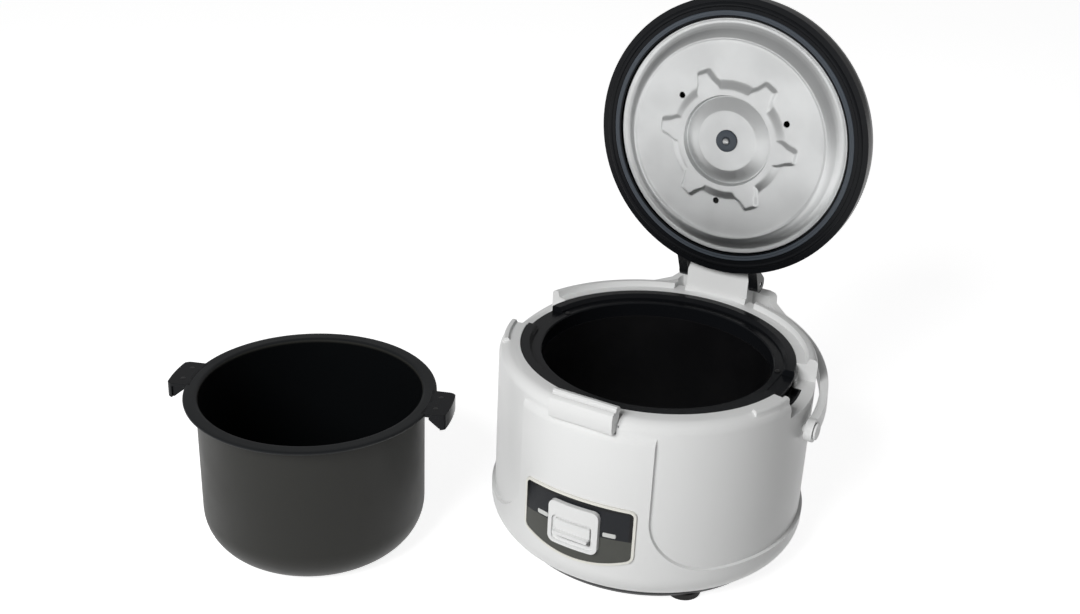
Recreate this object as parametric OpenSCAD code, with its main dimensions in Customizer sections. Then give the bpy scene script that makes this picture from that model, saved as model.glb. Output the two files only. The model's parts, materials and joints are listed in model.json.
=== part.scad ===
// Jar rice cooker with its lid open and its cooking pot standing beside it.
// Millimetres, +Z up. The cooker and the pot stand on the plane Z = 0 and the
// middle of the whole set's footprint is the origin. The front faces -Y.

/* [Body] */
// Outer radius of the round casing
body_r = 138; // [130:1:150]
// Height of the flat rim of the casing
rim_z = 183; // [176:1:200]
// Wall of the casing
casing_wall = 2.5; // [2:0.5:3]
// How far the front apron and the belt stand proud of the casing
apron_proud = 3; // [2:0.5:4]
// Half width of the front apron
apron_half = 60; // [56:1:66]
// Height of the belt's upper edge
belt_z = 45; // [40:1:52]
// Radius of the rounded bottom edge of the belt
belt_round = 24; // [16:1:27]
// Radius of the shoulder between rim and side
shoulder_round = 10; // [7:0.5:11]
// Radius of the hole in the rim that holds the ring
rim_hole_r = 120; // [118:0.5:121]
// How far the back of the rim is raised
back_rise = 5; // [3:0.5:6]

/* [Base] */
// Height of the rubber feet
foot_h = 7; // [5:0.5:8]
// Radius of a rubber foot
foot_r = 15; // [12:1:16]
// Distance of each foot from the middle
foot_at_r = 106; // [95:1:106]
// Height of the base cover's upper edge
base_top_z = 14; // [13:0.5:15]
// Wall of the base cover
base_wall = 2.5; // [2:0.5:2.5]

/* [Pot] */
// Outer radius of the pot's wall
pot_r = 97.5; // [92:0.5:98]
// Height of the pot
pot_h = 145; // [135:1:146]
// Wall of the pot
pot_wall = 2; // [1.5:0.5:2.5]
// Radius of the rounded bottom edge of the pot
pot_round = 38; // [25:1:42]
// Outer radius of the pot's rim
pot_rim_r = 108; // [106:0.5:108]
// Thickness of the pot's rim
pot_rim_t = 3; // [2:0.5:3.5]
// Width of a pot ear
ear_w = 42; // [34:1:44]
// Height of the turned-down lip of a pot ear
ear_drop = 14; // [10:1:15]
// Place of the pot beside the cooker, measured from the cooker's axis
pot_at = [-245, -172.5]; // [-320:1:320]
// Turn of the pot on the table
pot_turn = 20; // [0:0.5:30]

/* [Lid] */
// Outer radius of the lid
lid_r = 127; // [125:0.5:127]
// Height of the closed lid above the rim
lid_h = 54; // [46:1:60]
// Wall of the lid cover
lid_wall = 2.5; // [2:0.5:3]
// How far the lid stands open
lid_open = 91; // [80:1:95]
// Outer radius of the inner plate
plate_r = 108; // [104:0.5:108]
// Thickness of the inner plate
plate_t = 1; // [0.8:0.1:1.5]
// Radius of the steam cap
steam_r = 19; // [15:1:22]

/* [Hinge and handle] */
// Distance of the lid hinge behind the middle
hinge_y = 137.3; // [136:0.1:140]
// Height of the lid hinge above the rim
hinge_rise = 19.2; // [18:0.1:21]
// Outer radius of the hinge knuckles
knuckle_r = 8; // [7.5:0.5:8]
// Half width of the white hinge block
block_half = 30.5; // [26:0.5:33]
// Width of each lid arm
arm_w = 9; // [8:0.5:13]
// Radius of the hinge pin
pin_r = 2.5; // [2:0.5:3]
// Height of the carry handle's pivots
pivot_z = 146; // [140:1:150]
// Tilt of the folded carry handle
handle_tilt = 11.3; // [9:0.1:13]
// Thickness of the carry handle's arms
handle_t = 7; // [5:0.5:8]
// Height of the carry handle's band
handle_band = 16; // [14:1:18]

/* [Front panel] */
// Half width of the dark panel
panel_half = 51.5; // [46:0.5:54]
// Height of the panel's upper edge
panel_top = 105; // [105:0.5:110]
// Height of the panel's lower edge in the middle
panel_bottom = 44; // [42:1:48]
// Width and height of the white bezel
bezel_size = [46, 40]; // [38:1:48]
// Width and height of the lever window
window_size = [33, 18]; // [16:1:34]
// Height of the bezel's middle
bezel_z = 77; // [76:0.5:78]
// Travel of the cook lever
lever_travel = 5; // [3:0.5:5]

/* [Fits] */
// Clearance between parts that are fixed to each other
seat_gap = 0.2; // [0.1:0.05:0.3]
// Clearance between parts that move past each other
move_gap = 0.5; // [0.4:0.1:0.7]
// Radial clearance of a pin that turns in its hole
pin_gap = 0.05; // [0.03:0.01:0.08]

/* [Hidden] */
$fn = 96;
far = 400;
eps = 0.01;

// Colours
white = [0.90, 0.90, 0.88];
black = [0.04, 0.045, 0.055];
charcoal = [0.20, 0.20, 0.19];
silver = [0.75, 0.76, 0.77];
steel = [0.62, 0.63, 0.65];
brass = [0.78, 0.62, 0.28];
navy = [0.05, 0.07, 0.12];
cream = [0.86, 0.84, 0.74];
grey = [0.35, 0.36, 0.37];
red = [0.75, 0.12, 0.08];

// Ring and ear pockets
ring_r = rim_hole_r - seat_gap;
ring_in_r = pot_rim_r + 1.5;
ledge_z = rim_z - 4.7;
ring_low_z = rim_z - 18;
collar_r = pot_r + 3.5;
collar_wall = 3;
flange_t = 4;
ear_tip_r = rim_hole_r + 4.5;
ear_t = 4;
pocket_r = ear_tip_r + 1;
pocket_half = ear_w / 2 + 1.5;
pocket_floor_z = ledge_z - ear_drop - 0.8;
low_rim_z = rim_z - 16;
low_lip_z = rim_z - 9;
wall_r = body_r - casing_wall;
outer_r = body_r + apron_proud;

// Heights inside
seat_z = ledge_z + 0.2;
pot_low_z = seat_z + pot_rim_t - pot_h;
heater_top_z = pot_low_z - 0.3;
heater_t = 8;
heater_r = 88;
heater_hole_r = 21;
liner_hole_r = 15;
post_h = 2.3;
liner_t = 1;
liner_r = collar_r + seat_gap + liner_t;
liner_floor_z = heater_top_z - heater_t - post_h;
base_floor_z = foot_h + base_wall;
base_r = outer_r - belt_round + 5;

// Hinge
hinge_z = rim_z + hinge_rise;
arm_gap = 0.5;
arm_x0 = block_half + arm_gap;
arm_x1 = arm_x0 + arm_w;
spring_pocket = 12;

// Lid, drawn closed
lid_low_z = rim_z + 1.5;
lid_edge_z = rim_z + 7;
lid_top_z = rim_z + lid_h;
dome_r = 350;
edge_round = 30;
frame_in_r = plate_r + 0.6;
gasket_r0 = frame_in_r + 0.9;
gasket_r1 = gasket_r0 + 5;
band_z = lid_edge_z + 11.5;
pan_z = lid_edge_z + 3;
field_z = rim_z - 2.5;
field_r = 92;
boss_drop = 3.5;
boss_root_r = 51;
boss_tip_r = 67;
recess_r = 39;
disc_r = 27;
grommet_r = 9;
post_r = 3;
steam_at = [0, 56];

// Front
front_y = -outer_r;
latch_half = 28.5;
latch_low_z = rim_z - 13;
latch_pin_z = rim_z - 7;
latch_pin_y = -body_r + 5;

// Carry handle
handle_r1 = outer_r + 0.5 + handle_t;
handle_r0 = outer_r + 0.5;
grip_r = sqrt(hinge_y * hinge_y + (hinge_z - pivot_z) * (hinge_z - pivot_z)) + knuckle_r + 2;
grip_t = 10;
grip_half = 40;
handle_straight = 5;
pivot_r = 4;

// The whole set's middle, seen from above
set_x0 = pot_at[0] - ear_tip_r + 1.6;
set_x1 = handle_r1 + 2.4;
set_y0 = pot_at[1] - pot_rim_r;
set_y1 = hinge_y + lid_h - hinge_rise + hinge_y * sin(lid_open - 90);

// Casing details
round_x = outer_r - belt_round;
round_z = base_top_z + belt_round;
seat_flange_z = ledge_z - flange_t - seat_gap;
box_r = pocket_r + 2;
box_half = pocket_half + 2;
box_floor_z = pocket_floor_z - 2;
low_start = asin((box_half + 0.5) / rim_hole_r);
low_end = 19;
latch_back_y = -rim_hole_r - 4;
latch_pin_r = 1.5;
base_screw_r = 109;
base_screw_angles = [20, 160, 200, 340];
block_y = lid_r + 1.3;
liner_post_r = heater_r - 12;
plate_post_r = heater_r - 14;
warm_z0 = rim_z - 88;
warm_h = 30;
inlet_y = body_r - 28;
holder_y = body_r - 16;
rivet_angles = [13, 167];
rivet_at_r = 105;
liner_top_z = ring_low_z - seat_gap;
inlet_z = 62;
inlet_size = [34, 26];
tube_ring_r = 60;
tube_in = 2.5;
terminal_x = 14;
terminal_y = sqrt(tube_ring_r * tube_ring_r - terminal_x * terminal_x);
inlet_screw_x = inlet_size[0] / 2 + 5.5;
inlet_screw_y = body_r - 0.5;

// Lever and window
window_z = bezel_z - 5.5;
lamp_at = [31, 77];
holder_half = lamp_at[0] + 17;
rib_x = holder_half - 4;
trim_w = 2;
seat_in = 1.8;
lamp_size = [11, 4];
paddle_size = [window_size[0] - 2 * move_gap, 12];
lever_z = window_z - window_size[1] / 2 + move_gap + lever_travel + paddle_size[1] / 2;
bar_pivot_y = -55.25;
bar_arm = 55.25;
bar_z = 17.6;
bar_t = 3;
foot_z = bar_z + bar_t / 2 + 0.5;

// Lid details
boss_at_r = 84;
catch_half = 12;
steam_tube_r = 14;
disc_z = field_z - 2;
steam_angles = [95, 215, 335];
ear_rivet_r = pot_rim_r + 5;
ear_round = 7;

cooker_at = [-(set_x0 + set_x1) / 2, -(set_y0 + set_y1) / 2, 0];

// ---------- helpers ----------
module at_cooker() { translate(cooker_at) children(); }
module at_pot() { translate(cooker_at + [pot_at[0], pot_at[1], 0]) rotate([0, 0, pot_turn]) children(); }
module at_lid() {
    at_cooker() translate([0, hinge_y, hinge_z]) rotate([-lid_open, 0, 0])
        translate([0, -hinge_y, -hinge_z]) children();
}
module both_sides() {
    children();
    mirror([1, 0, 0]) children();
}
// A sector of a tall prism, from angle a0 to a1
module sector(a0, a1, z0, z1) {
    middle = (a0 + a1) / 2;
    translate([0, 0, z0]) linear_extrude(z1 - z0)
        polygon([[0, 0], far * [cos(a0), sin(a0)], 1.4 * far * [cos(middle), sin(middle)],
            far * [cos(a1), sin(a1)]]);
}
module tube(r0, r1, z0, z1) {
    translate([0, 0, z0]) difference() {
        cylinder(r = r1, h = z1 - z0);
        translate([0, 0, -1]) cylinder(r = r0, h = z1 - z0 + 2);
    }
}
module rounded_rect(size, r) {
    w = size[0] / 2 - r;
    h = size[1] / 2 - r;
    square([size[0], size[1] - 2 * r], center = true);
    square([size[0] - 2 * r, size[1]], center = true);
    for (x = [-w, w], y = [-h, h]) translate([x, y]) circle(r = r);
}
// Pushes a front-view outline, X across and Z up, from y0 to y1
module front_cut(y0, y1) {
    translate([0, y1, 0]) rotate([90, 0, 0]) linear_extrude(y1 - y0) children();
}
// Pushes a side-view outline, Y across and Z up, from x0 to x1
module side_cut(x0, x1) {
    translate([x0, 0, 0]) rotate([90, 0, 90]) linear_extrude(x1 - x0) children();
}
module screw(r, h, head_r, head_h) {
    cylinder(r = r, h = h);
    translate([0, 0, -head_h]) difference() {
        cylinder(r = head_r, h = head_h);
        translate([-0.5, -head_r * 0.6, -1]) cube([1, head_r * 1.2, 1 + head_h * 0.5]);
        translate([-head_r * 0.6, -0.5, -1]) cube([head_r * 1.2, 1, 1 + head_h * 0.5]);
    }
}
// A wound spring, drawn as separate rings on a thin seam
module coil(r, wire_r, z0, z1, turns) {
    pitch = (z1 - z0 - 2 * wire_r) / (turns - 1);
    for (i = [0 : turns - 1]) translate([0, 0, z0 + wire_r + i * pitch]) rotate_extrude()
        translate([r, 0]) circle(r = wire_r, $fn = 24);
    translate([r, 0, z0 + wire_r]) cylinder(r = wire_r * 0.7, h = z1 - z0 - 2 * wire_r, $fn = 24);
}

// ---------- casing ----------
// Half outline of the round casing at radius r, from its rounded foot to its shoulder
module casing_outline(r, top_z, top_round) {
    difference() {
        union() {
            translate([0, round_z]) square([r, top_z - top_round - round_z]);
            translate([0, base_top_z]) square([round_x, top_z - base_top_z - top_round]);
            translate([0, top_z - top_round - 1]) square([r - top_round, top_round + 1]);
            translate([r - top_round, top_z - top_round]) circle(r = top_round);
            intersection() {
                translate([round_x, round_z]) circle(r = belt_round);
                square([r, round_z + 1]);
            }
        }
        translate([-far, -1]) square([far, far]);
    }
}
module cavity_outline() {
    inner_round = shoulder_round - casing_wall;
    lip = outer_r - wall_r;
    translate([0, round_z]) square([wall_r, rim_z - shoulder_round - round_z]);
    translate([round_x, round_z]) circle(r = belt_round - lip);
    translate([0, base_top_z + lip]) square([round_x, belt_round - lip]);
    translate([0, base_top_z - 1]) square([round_x - casing_wall, belt_round]);
    translate([0, rim_z - shoulder_round - 1]) square([body_r - shoulder_round, inner_round + 1]);
    translate([body_r - shoulder_round, rim_z - shoulder_round]) circle(r = inner_round);
}
module apron_region() {
    corner = 50;
    translate([-far / 2, 0]) square([far, belt_z]);
    translate([-apron_half, 0]) square([2 * apron_half, rim_z]);
    both_sides() translate([apron_half, belt_z]) difference() {
        translate([-1, -1]) square(corner + 1);
        translate([corner, corner]) circle(r = corner);
    }
}
module casing_skin() {
    rotate_extrude() casing_outline(body_r, rim_z, shoulder_round);
    intersection() {
        rotate_extrude() casing_outline(outer_r, rim_z - shoulder_round, shoulder_round);
        union() {
            front_cut(-far / 2, 0) apron_region();
            translate([-far / 2, -1, 0]) cube([far, far / 2, belt_z]);
        }
    }
}
// A raised stretch of the rim, rounded on its outer edge and sloped inside
module rim_crest(height, r0, r1) {
    rotate_extrude() translate([0, rim_z - shoulder_round]) difference() {
        translate([r0, 0]) square([r1 - r0, shoulder_round + height]);
        translate([r1 - height, shoulder_round]) difference() {
            square(height + 1);
            circle(r = height);
        }
        translate([r0 - 1, shoulder_round]) polygon([[0, 0], [1, 0], [3, height + 1], [0, height + 1]]);
    }
}
module casing_crests() {
    intersection() {
        rim_crest(back_rise, rim_hole_r + 8.5, body_r);
        union() {
            sector(low_end, 90.5, rim_z - shoulder_round, rim_z + 20);
            sector(89.5, 180 - low_end, rim_z - shoulder_round, rim_z + 20);
        }
    }
    both_sides() intersection() {
        rim_crest(2.5, rim_hole_r + 9, body_r - 3);
        sector(-low_start - 17, -low_start, rim_z - shoulder_round, rim_z + 20);
    }
}
module hinge_block_outline() {
    polygon([
        [rim_hole_r + 2, rim_z - 2], [block_y, rim_z + 1], [block_y + 0.3, hinge_z + 2], [hinge_y - 5,
            hinge_z + 6.2],
        [hinge_y, hinge_z + knuckle_r], [hinge_y + knuckle_r, hinge_z], [hinge_y + knuckle_r, rim_z - 8],
        [body_r - 2, rim_z - 22], [rim_hole_r + 12, rim_z - 8]]);
    translate([hinge_y, hinge_z]) circle(r = knuckle_r);
}
// The deck of the low stretch of rim
module low_deck() {
    intersection() {
        rotate_extrude() intersection() {
            casing_outline(body_r, rim_z, shoulder_round);
            translate([rim_hole_r, low_rim_z - 4]) square([20, rim_z - low_rim_z + 4]);
        }
        sector(-low_start - 1, low_end + 1, 0, far);
    }
}
module low_rim_cut() {
    intersection() {
        union() {
            tube(rim_hole_r - 1, far, low_lip_z, rim_z + 20);
            tube(rim_hole_r + 2, far, low_rim_z, rim_z + 20);
        }
        sector(-low_start, low_end, 0, far);
    }
}
module seat_flange() {
    tube(rim_hole_r - 8, rim_hole_r + 3, seat_flange_z - 3, seat_flange_z);
    tube(rim_hole_r, rim_hole_r + 3, seat_flange_z - 3, rim_z - 1);
}
module latch_box(grow, y0, y1) {
    translate([-latch_half - grow, y0, latch_low_z - grow]) cube([2 * (latch_half + grow), y1 - y0, far]);
}
module window_cut(grow) {
    front_cut(-far / 2, 0) translate([0, window_z]) rounded_rect([window_size[0] + 2 * grow,
        window_size[1] + 2 * grow], 1.5 + grow);
}
module outer_casing() {
    color(white) at_cooker() difference() {
        union() {
            difference() {
                union() {
                    casing_skin();
                    casing_crests();
                }
                rotate_extrude() intersection() {
                    cavity_outline();
                    square(far);
                }
                // the hole for the ring
                translate([0, 0, rim_z - 40]) cylinder(r = rim_hole_r, h = far);
            }
            seat_flange();
            both_sides() low_deck();
            difference() {
                side_cut(-block_half, block_half) hinge_block_outline();
                cylinder(r = rim_hole_r, h = far);
            }
            // walls of the latch recess
            intersection() {
                rotate_extrude() casing_outline(body_r, rim_z, shoulder_round);
                latch_box(move_gap + 2.5, -far / 2, latch_back_y + 2.2);
            }
            // bosses that take the base screws
            for (a = base_screw_angles) rotate([0, 0, a]) {
                translate([base_screw_r, 0, base_floor_z + seat_gap]) cylinder(r = 4.5, h = 18);
                translate([base_screw_r, -1.5, base_top_z + 1]) cube([round_x - base_screw_r, 3, 12]);
            }
            // bosses behind the handle's pivot screws
            both_sides() translate([wall_r - 6, 0, pivot_z]) rotate([0, 90, 0]) cylinder(r = 8, h = 8);
        }
        // room for the ring's ear pockets
        both_sides() translate([rim_hole_r - 10, -box_half, box_floor_z]) intersection() {
            cube([40, 2 * box_half, far]);
            translate([-rim_hole_r + 10, box_half, 0]) cylinder(r = box_r, h = far);
        }
        both_sides() low_rim_cut();
        // room for the lid's arms
        both_sides() translate([block_half, rim_hole_r - 6, rim_z]) cube([arm_w + 2 * arm_gap, far, 30]);
        // spring pocket and pin bore in the hinge block
        translate([block_half - spring_pocket, hinge_y, hinge_z]) rotate([0, 90, 0])
            cylinder(r = knuckle_r - 1.8, h = far);
        translate([-far / 2, hinge_y, hinge_z]) rotate([0, 90, 0]) cylinder(r = pin_r, h = far);
        both_sides() translate([wall_r - 20, 0, pivot_z]) rotate([0, 90, 0])
            cylinder(r = pivot_r - 2, h = 60);
        for (a = base_screw_angles) rotate([0, 0, a]) translate([base_screw_r, 0, 0])
            cylinder(r = 2, h = base_floor_z + 14);
        latch_box(move_gap, -far / 2, latch_back_y);
        translate([-latch_half - 2.2, latch_pin_y, latch_pin_z]) rotate([0, 90, 0])
            cylinder(r = latch_pin_r, h = 2 * latch_half + 4.4);
        // panel seat, lever window and lamp windows
        intersection() {
            tube(outer_r - seat_in - seat_gap, far, 0, far);
            front_cut(-far / 2, 0) panel_outline(-seat_gap);
        }
        window_cut(0);
        both_sides() lamp_window(0);
        // power inlet
        inlet_cut(seat_gap);
        both_sides() translate([inlet_screw_x, inlet_y + 10, inlet_z]) rotate([-90, 0, 0])
            cylinder(r = 1.5, h = 60);
    }
}
module base_cover() {
    color(charcoal) at_cooker() difference() {
        union() {
            translate([0, 0, foot_h]) cylinder(r1 = base_r - 2, r2 = base_r, h = 3);
            translate([0, 0, foot_h + 3]) cylinder(r = base_r, h = base_top_z - foot_h - 3);
        }
        difference() {
            translate([0, 0, base_floor_z]) cylinder(r = base_r - 5, h = far);
            // posts that carry the liner
            for (a = [45 : 90 : 315]) rotate([0, 0, a]) translate([liner_post_r, 0, 0])
                cylinder(r = 4, h = liner_floor_z);
        }
        for (a = [45 : 90 : 315]) rotate([0, 0, a]) translate([foot_at_r, 0, 0])
            cylinder(r = 4 + seat_gap, h = far);
        for (a = base_screw_angles) rotate([0, 0, a]) translate([base_screw_r, 0, 0]) {
            cylinder(r = 2 + seat_gap, h = far);
            cylinder(r = 4 + seat_gap, h = foot_h + 1.6);
        }
        // vents
        for (x = [20 : 10 : 60], sx = [-1, 1], sy = [-1, 1]) translate([sx * x - 1.5, sy * 30 - 15, 0])
            cube([3, 30, far]);
    }
}
module base_feet() {
    color(black) at_cooker() for (a = [45 : 90 : 315]) rotate([0, 0, a]) translate([foot_at_r, 0, 0]) {
        cylinder(r1 = foot_r - 1.5, r2 = foot_r, h = 1.5);
        translate([0, 0, 1.5]) cylinder(r = foot_r, h = foot_h - 1.5);
        translate([0, 0, 1]) cylinder(r = 4, h = base_floor_z - 1);
        translate([0, 0, base_floor_z]) cylinder(r1 = 5.5, r2 = 3.5, h = 2);
    }
}
module base_screws() {
    color(steel) at_cooker() for (a = base_screw_angles) rotate([0, 0, a])
        translate([base_screw_r, 0, foot_h + 1.6]) screw(2, 14, 4, 1.5);
}

// ---------- ring and liner ----------
module ear_notch(grow) {
    half = ear_w / 2 + grow;
    both_sides() intersection() {
        translate([pot_rim_r - 1, -half, 0]) cube([far, 2 * half, far]);
        translate([0, 0, ledge_z - 0.8]) cylinder(r = far, h = far);
    }
}
module ring_outline() {
    polygon([
        [collar_r, ring_low_z], [collar_r + collar_wall, ring_low_z], [collar_r + collar_wall,
            ledge_z - flange_t],
        [ring_r, ledge_z - flange_t], [ring_r, rim_z - 0.6], [ring_r - 0.6, rim_z], [ring_in_r + 2.5,
            rim_z],
        [ring_in_r, rim_z - 3.5], [ring_in_r, ledge_z], [collar_r + 1, ledge_z], [collar_r, ledge_z - 1]]);
}
module top_ring() {
    color(black) at_cooker() difference() {
        union() {
            rotate_extrude() ring_outline();
            both_sides() intersection() {
                tube(rim_hole_r - 2.5, box_r - seat_gap, box_floor_z + seat_gap, low_rim_z);
                translate([0, -box_half + seat_gap, 0]) cube([far, 2 * (box_half - seat_gap), far]);
            }
        }
        ear_notch(1);
        both_sides() intersection() {
            tube(rim_hole_r - 0.2, pocket_r, pocket_floor_z, far);
            translate([0, -pocket_half, 0]) cube([far, 2 * pocket_half, far]);
        }
        for (a = rivet_angles) rotate([0, 0, a]) translate([rivet_at_r, 0, 0])
            cylinder(r = 1.5 + seat_gap, h = far);
    }
}
module ring_rivets() {
    color(silver) at_cooker() for (a = rivet_angles) rotate([0, 0, a]) translate([rivet_at_r, 0, 0]) {
        translate([0, 0, ledge_z - flange_t - 1]) cylinder(r = 1.5, h = flange_t + 1.1);
        translate([0, 0, ledge_z]) intersection() {
            cylinder(r = 2.6, h = 1.4);
            translate([0, 0, -2]) sphere(r = 3.3);
        }
    }
}
module inner_liner() {
    color(steel) at_cooker() difference() {
        translate([0, 0, liner_floor_z]) cylinder(r = liner_r, h = liner_top_z - liner_floor_z);
        translate([0, 0, liner_floor_z + liner_t]) cylinder(r = liner_r - liner_t, h = far);
        cylinder(r = liner_hole_r, h = far);
        for (a = [90, 210, 330]) rotate([0, 0, a]) translate([plate_post_r, 0, 0])
            cylinder(r = 2 + seat_gap, h = heater_top_z);
        both_sides() translate([terminal_x, terminal_y, 0]) cylinder(r = 5, h = heater_top_z);
    }
}
module keep_warm_band() {
    color(grey) at_cooker() difference() {
        tube(liner_r + seat_gap, liner_r + seat_gap + 2, warm_z0, warm_z0 + warm_h);
        translate([-4, 0, warm_z0 - 5]) cube([8, far, warm_h + 10]);
    }
}

// ---------- heating plate and thermostat ----------
module heating_plate() {
    z0 = heater_top_z - heater_t;
    color(silver) at_cooker() difference() {
        union() {
            translate([0, 0, z0]) cylinder(r = heater_r - 3, h = heater_t);
            translate([0, 0, z0 + 3]) cylinder(r = heater_r, h = heater_t - 3);
        }
        cylinder(r = heater_hole_r, h = far);
        rotate_extrude() translate([tube_ring_r, z0 + tube_in]) circle(r = 3.5 + seat_gap);
        translate([0, 0, z0 - 1]) for (a = [90, 210, 330]) rotate([0, 0, a])
            translate([plate_post_r, 0, 0]) cylinder(r = 2 + seat_gap, h = 5);
    }
}
module heater_tube() {
    z0 = heater_top_z - heater_t;
    half_gap = acos(terminal_y / tube_ring_r);
    color(steel) at_cooker() rotate([0, 0, 90 + half_gap]) {
        rotate_extrude(angle = 360 - 2 * half_gap) translate([tube_ring_r, z0 + tube_in]) circle(r = 3.5);
        for (a = [0, 360 - 2 * half_gap]) rotate([0, 0, a]) translate([tube_ring_r, 0, z0 - 7])
            cylinder(r = 2, h = 9);
    }
}
module plate_posts() {
    color(steel) at_cooker() for (a = [90, 210, 330]) rotate([0, 0, a])
        translate([plate_post_r, 0, liner_floor_z - 3]) {
        cylinder(r = 5, h = 3 - eps);
        cylinder(r = 2, h = 3 + post_h + 2);
        translate([0, 0, 3 + liner_t]) cylinder(r = 5, h = post_h - liner_t);
    }
}
module thermostat_guide() {
    z0 = liner_floor_z + liner_t;
    color(steel) at_cooker() {
        tube(11, 12.5, z0, z0 + 5);
        tube(11, liner_hole_r + 4, z0, z0 + 1.2);
    }
}
module thermostat_cup() {
    top = heater_top_z + 2;
    color(silver) at_cooker() {
        translate([0, 0, top - 1.5]) cylinder(r = 19.5, h = 1.5);
        tube(18.3, 19.5, top - 7, top - 1);
        translate([0, 0, top - 2.2]) cylinder(r = 8, h = 1.2);
    }
}
module thermostat_spring() {
    z0 = liner_floor_z + liner_t + 1.2;
    color(steel) at_cooker() coil(15.6, 0.7, z0 + 0.1, heater_top_z + 0.4, 4);
}
module magnet_carrier() {
    color(brass) at_cooker() {
        translate([0, 0, bar_z + bar_t / 2 + 0.8]) cylinder(r = 4,
            h = liner_floor_z - bar_z - bar_t / 2 - 0.8);
        translate([0, 0, liner_floor_z - 1.5]) cylinder(r = 9, h = 1.5);
    }
}
module magnet() {
    color(charcoal) at_cooker() translate([0, 0, liner_floor_z + eps]) cylinder(r = 10, h = 2.4);
}

// ---------- cook lever and its linkage ----------
module switch_bar() {
    color(steel) at_cooker() difference() {
        union() {
            translate([-4, bar_pivot_y - bar_arm - 2, bar_z - bar_t / 2]) cube([8, 2 * bar_arm + 4, bar_t]);
            translate([-4, bar_pivot_y, bar_z]) rotate([0, 90, 0]) cylinder(r = 3.5, h = 8);
        }
        translate([-10, bar_pivot_y, bar_z]) rotate([0, 90, 0]) cylinder(r = 1.5 + pin_gap, h = 20);
    }
}
module switch_bracket() {
    color(steel) at_cooker() difference() {
        translate([-7, bar_pivot_y - 6, base_floor_z]) difference() {
            cube([14, 12, bar_z + 4 - base_floor_z]);
            translate([1.5, -1, 1.5]) cube([11, 14, far]);
        }
        translate([-10, bar_pivot_y, bar_z]) rotate([0, 90, 0]) cylinder(r = 1.5, h = 20);
    }
}
module switch_pin() {
    color(steel) at_cooker() translate([-8, bar_pivot_y, bar_z]) rotate([0, 90, 0])
        cylinder(r = 1.5, h = 16);
}
module micro_switch() {
    color(grey) at_cooker() translate([14, bar_pivot_y - 10, base_floor_z]) {
        cube([8, 20, 10]);
        translate([2, 4, 10]) cube([4, 3, 2]);
        for (y = [3, 10, 17]) translate([8, y - 0.4, 2]) cube([4, 0.8, 5]);
    }
}
module thermal_fuse() {
    color(cream) at_cooker() translate([-45, 36, liner_floor_z - 2.6]) rotate([0, 90, 0]) {
        cylinder(r = 2.4, h = 18);
        translate([0, 0, -8]) cylinder(r = 0.7, h = 34);
    }
}
module terminal_block() {
    color(cream) at_cooker() difference() {
        translate([-20, 56, base_floor_z]) cube([40, 16, 11]);
        for (x = [-14, 0, 14]) translate([x, 64, base_floor_z + 3]) cylinder(r = 3, h = far);
    }
}
module cook_lever() {
    color(white) at_cooker() {
        intersection() {
            union() {
                tube(outer_r + 1.5, outer_r + 4.5, 0, far);
                translate([-paddle_size[0] / 2, front_y - 8.5, lever_z - paddle_size[1] / 2])
                    cube([paddle_size[0], 8, 3]);
            }
            front_cut(-far / 2, 0) translate([0, lever_z]) rounded_rect(paddle_size, 1);
        }
        translate([-5, front_y - 2, lever_z - 4]) cube([10, 13, 8]);
        translate([-5, front_y + 10, 42]) cube([10, 3, lever_z - 40]);
        translate([-5, front_y + 10, 41]) cube([10, 20.5 + outer_r + bar_pivot_y - bar_arm - 29, 3.5]);
        translate([-5, bar_pivot_y - bar_arm - 1.5, foot_z]) cube([10, 3, 44.5 - foot_z]);
    }
}
module lever_spring() {
    color(steel) at_cooker() translate([0, -round_x - 2, 0]) coil(3, 0.5, base_top_z + 6.7, 40.9, 9);
}

// ---------- front panel ----------
// Outline with arched top and bottom and rounded corners, inset by g
module panel_outline(g) {
    low_r = 128;
    top_r = 660;
    low_corner = 8;
    top_corner = 6;
    low_x = panel_half - low_corner;
    top_x = panel_half - top_corner;
    low_c = panel_bottom + low_r;
    top_c = panel_top - top_r;
    low_z = low_c - sqrt(pow(low_r - low_corner, 2) - low_x * low_x);
    high_z = top_c + sqrt(pow(top_r - top_corner, 2) - top_x * top_x);
    translate([-panel_half + g, low_z]) square([2 * (panel_half - g), high_z - low_z]);
    for (s = [-1, 1]) {
        translate([s * low_x, low_z]) circle(r = low_corner - g);
        translate([s * top_x, high_z]) circle(r = top_corner - g);
    }
    intersection() {
        translate([0, low_c]) circle(r = low_r - g);
        polygon([
            [-low_x + 1, low_z + 1], 1.2 * [-low_x + 0.4, low_z - low_c] + [0, low_c],
            1.2 * [low_x - 0.4, low_z - low_c] + [0, low_c], [low_x - 1, low_z + 1]]);
    }
    intersection() {
        translate([0, top_c]) circle(r = top_r - g);
        polygon([
            [-top_x, low_z + 1], [top_x, low_z + 1], [top_x - 0.3, panel_top + 5], [-top_x + 0.3,
                panel_top + 5]]);
    }
}
module lamp_window(grow) {
    front_cut(-far / 2, 0) translate(lamp_at) rounded_rect([lamp_size[0] + 2 * grow,
        lamp_size[1] + 2 * grow], 1 + grow);
}
module bezel_cut(grow) {
    front_cut(-far / 2, 0) translate([0, bezel_z]) rounded_rect([bezel_size[0] + 2 * grow,
        bezel_size[1] + 2 * grow], 6 + grow);
}
module fascia() {
    color(navy) at_cooker() difference() {
        intersection() {
            tube(outer_r - seat_in, outer_r + 1.2, 0, far);
            front_cut(-far / 2, 0) panel_outline(trim_w + seat_gap);
        }
        bezel_cut(seat_gap);
        both_sides() lamp_window(seat_gap);
    }
}
module fascia_trim() {
    color(cream) at_cooker() difference() {
        intersection() {
            tube(outer_r - seat_in, outer_r + 1.6, 0, far);
            front_cut(-far / 2, 0) panel_outline(0);
        }
        front_cut(-far, -10) panel_outline(trim_w);
    }
}
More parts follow.
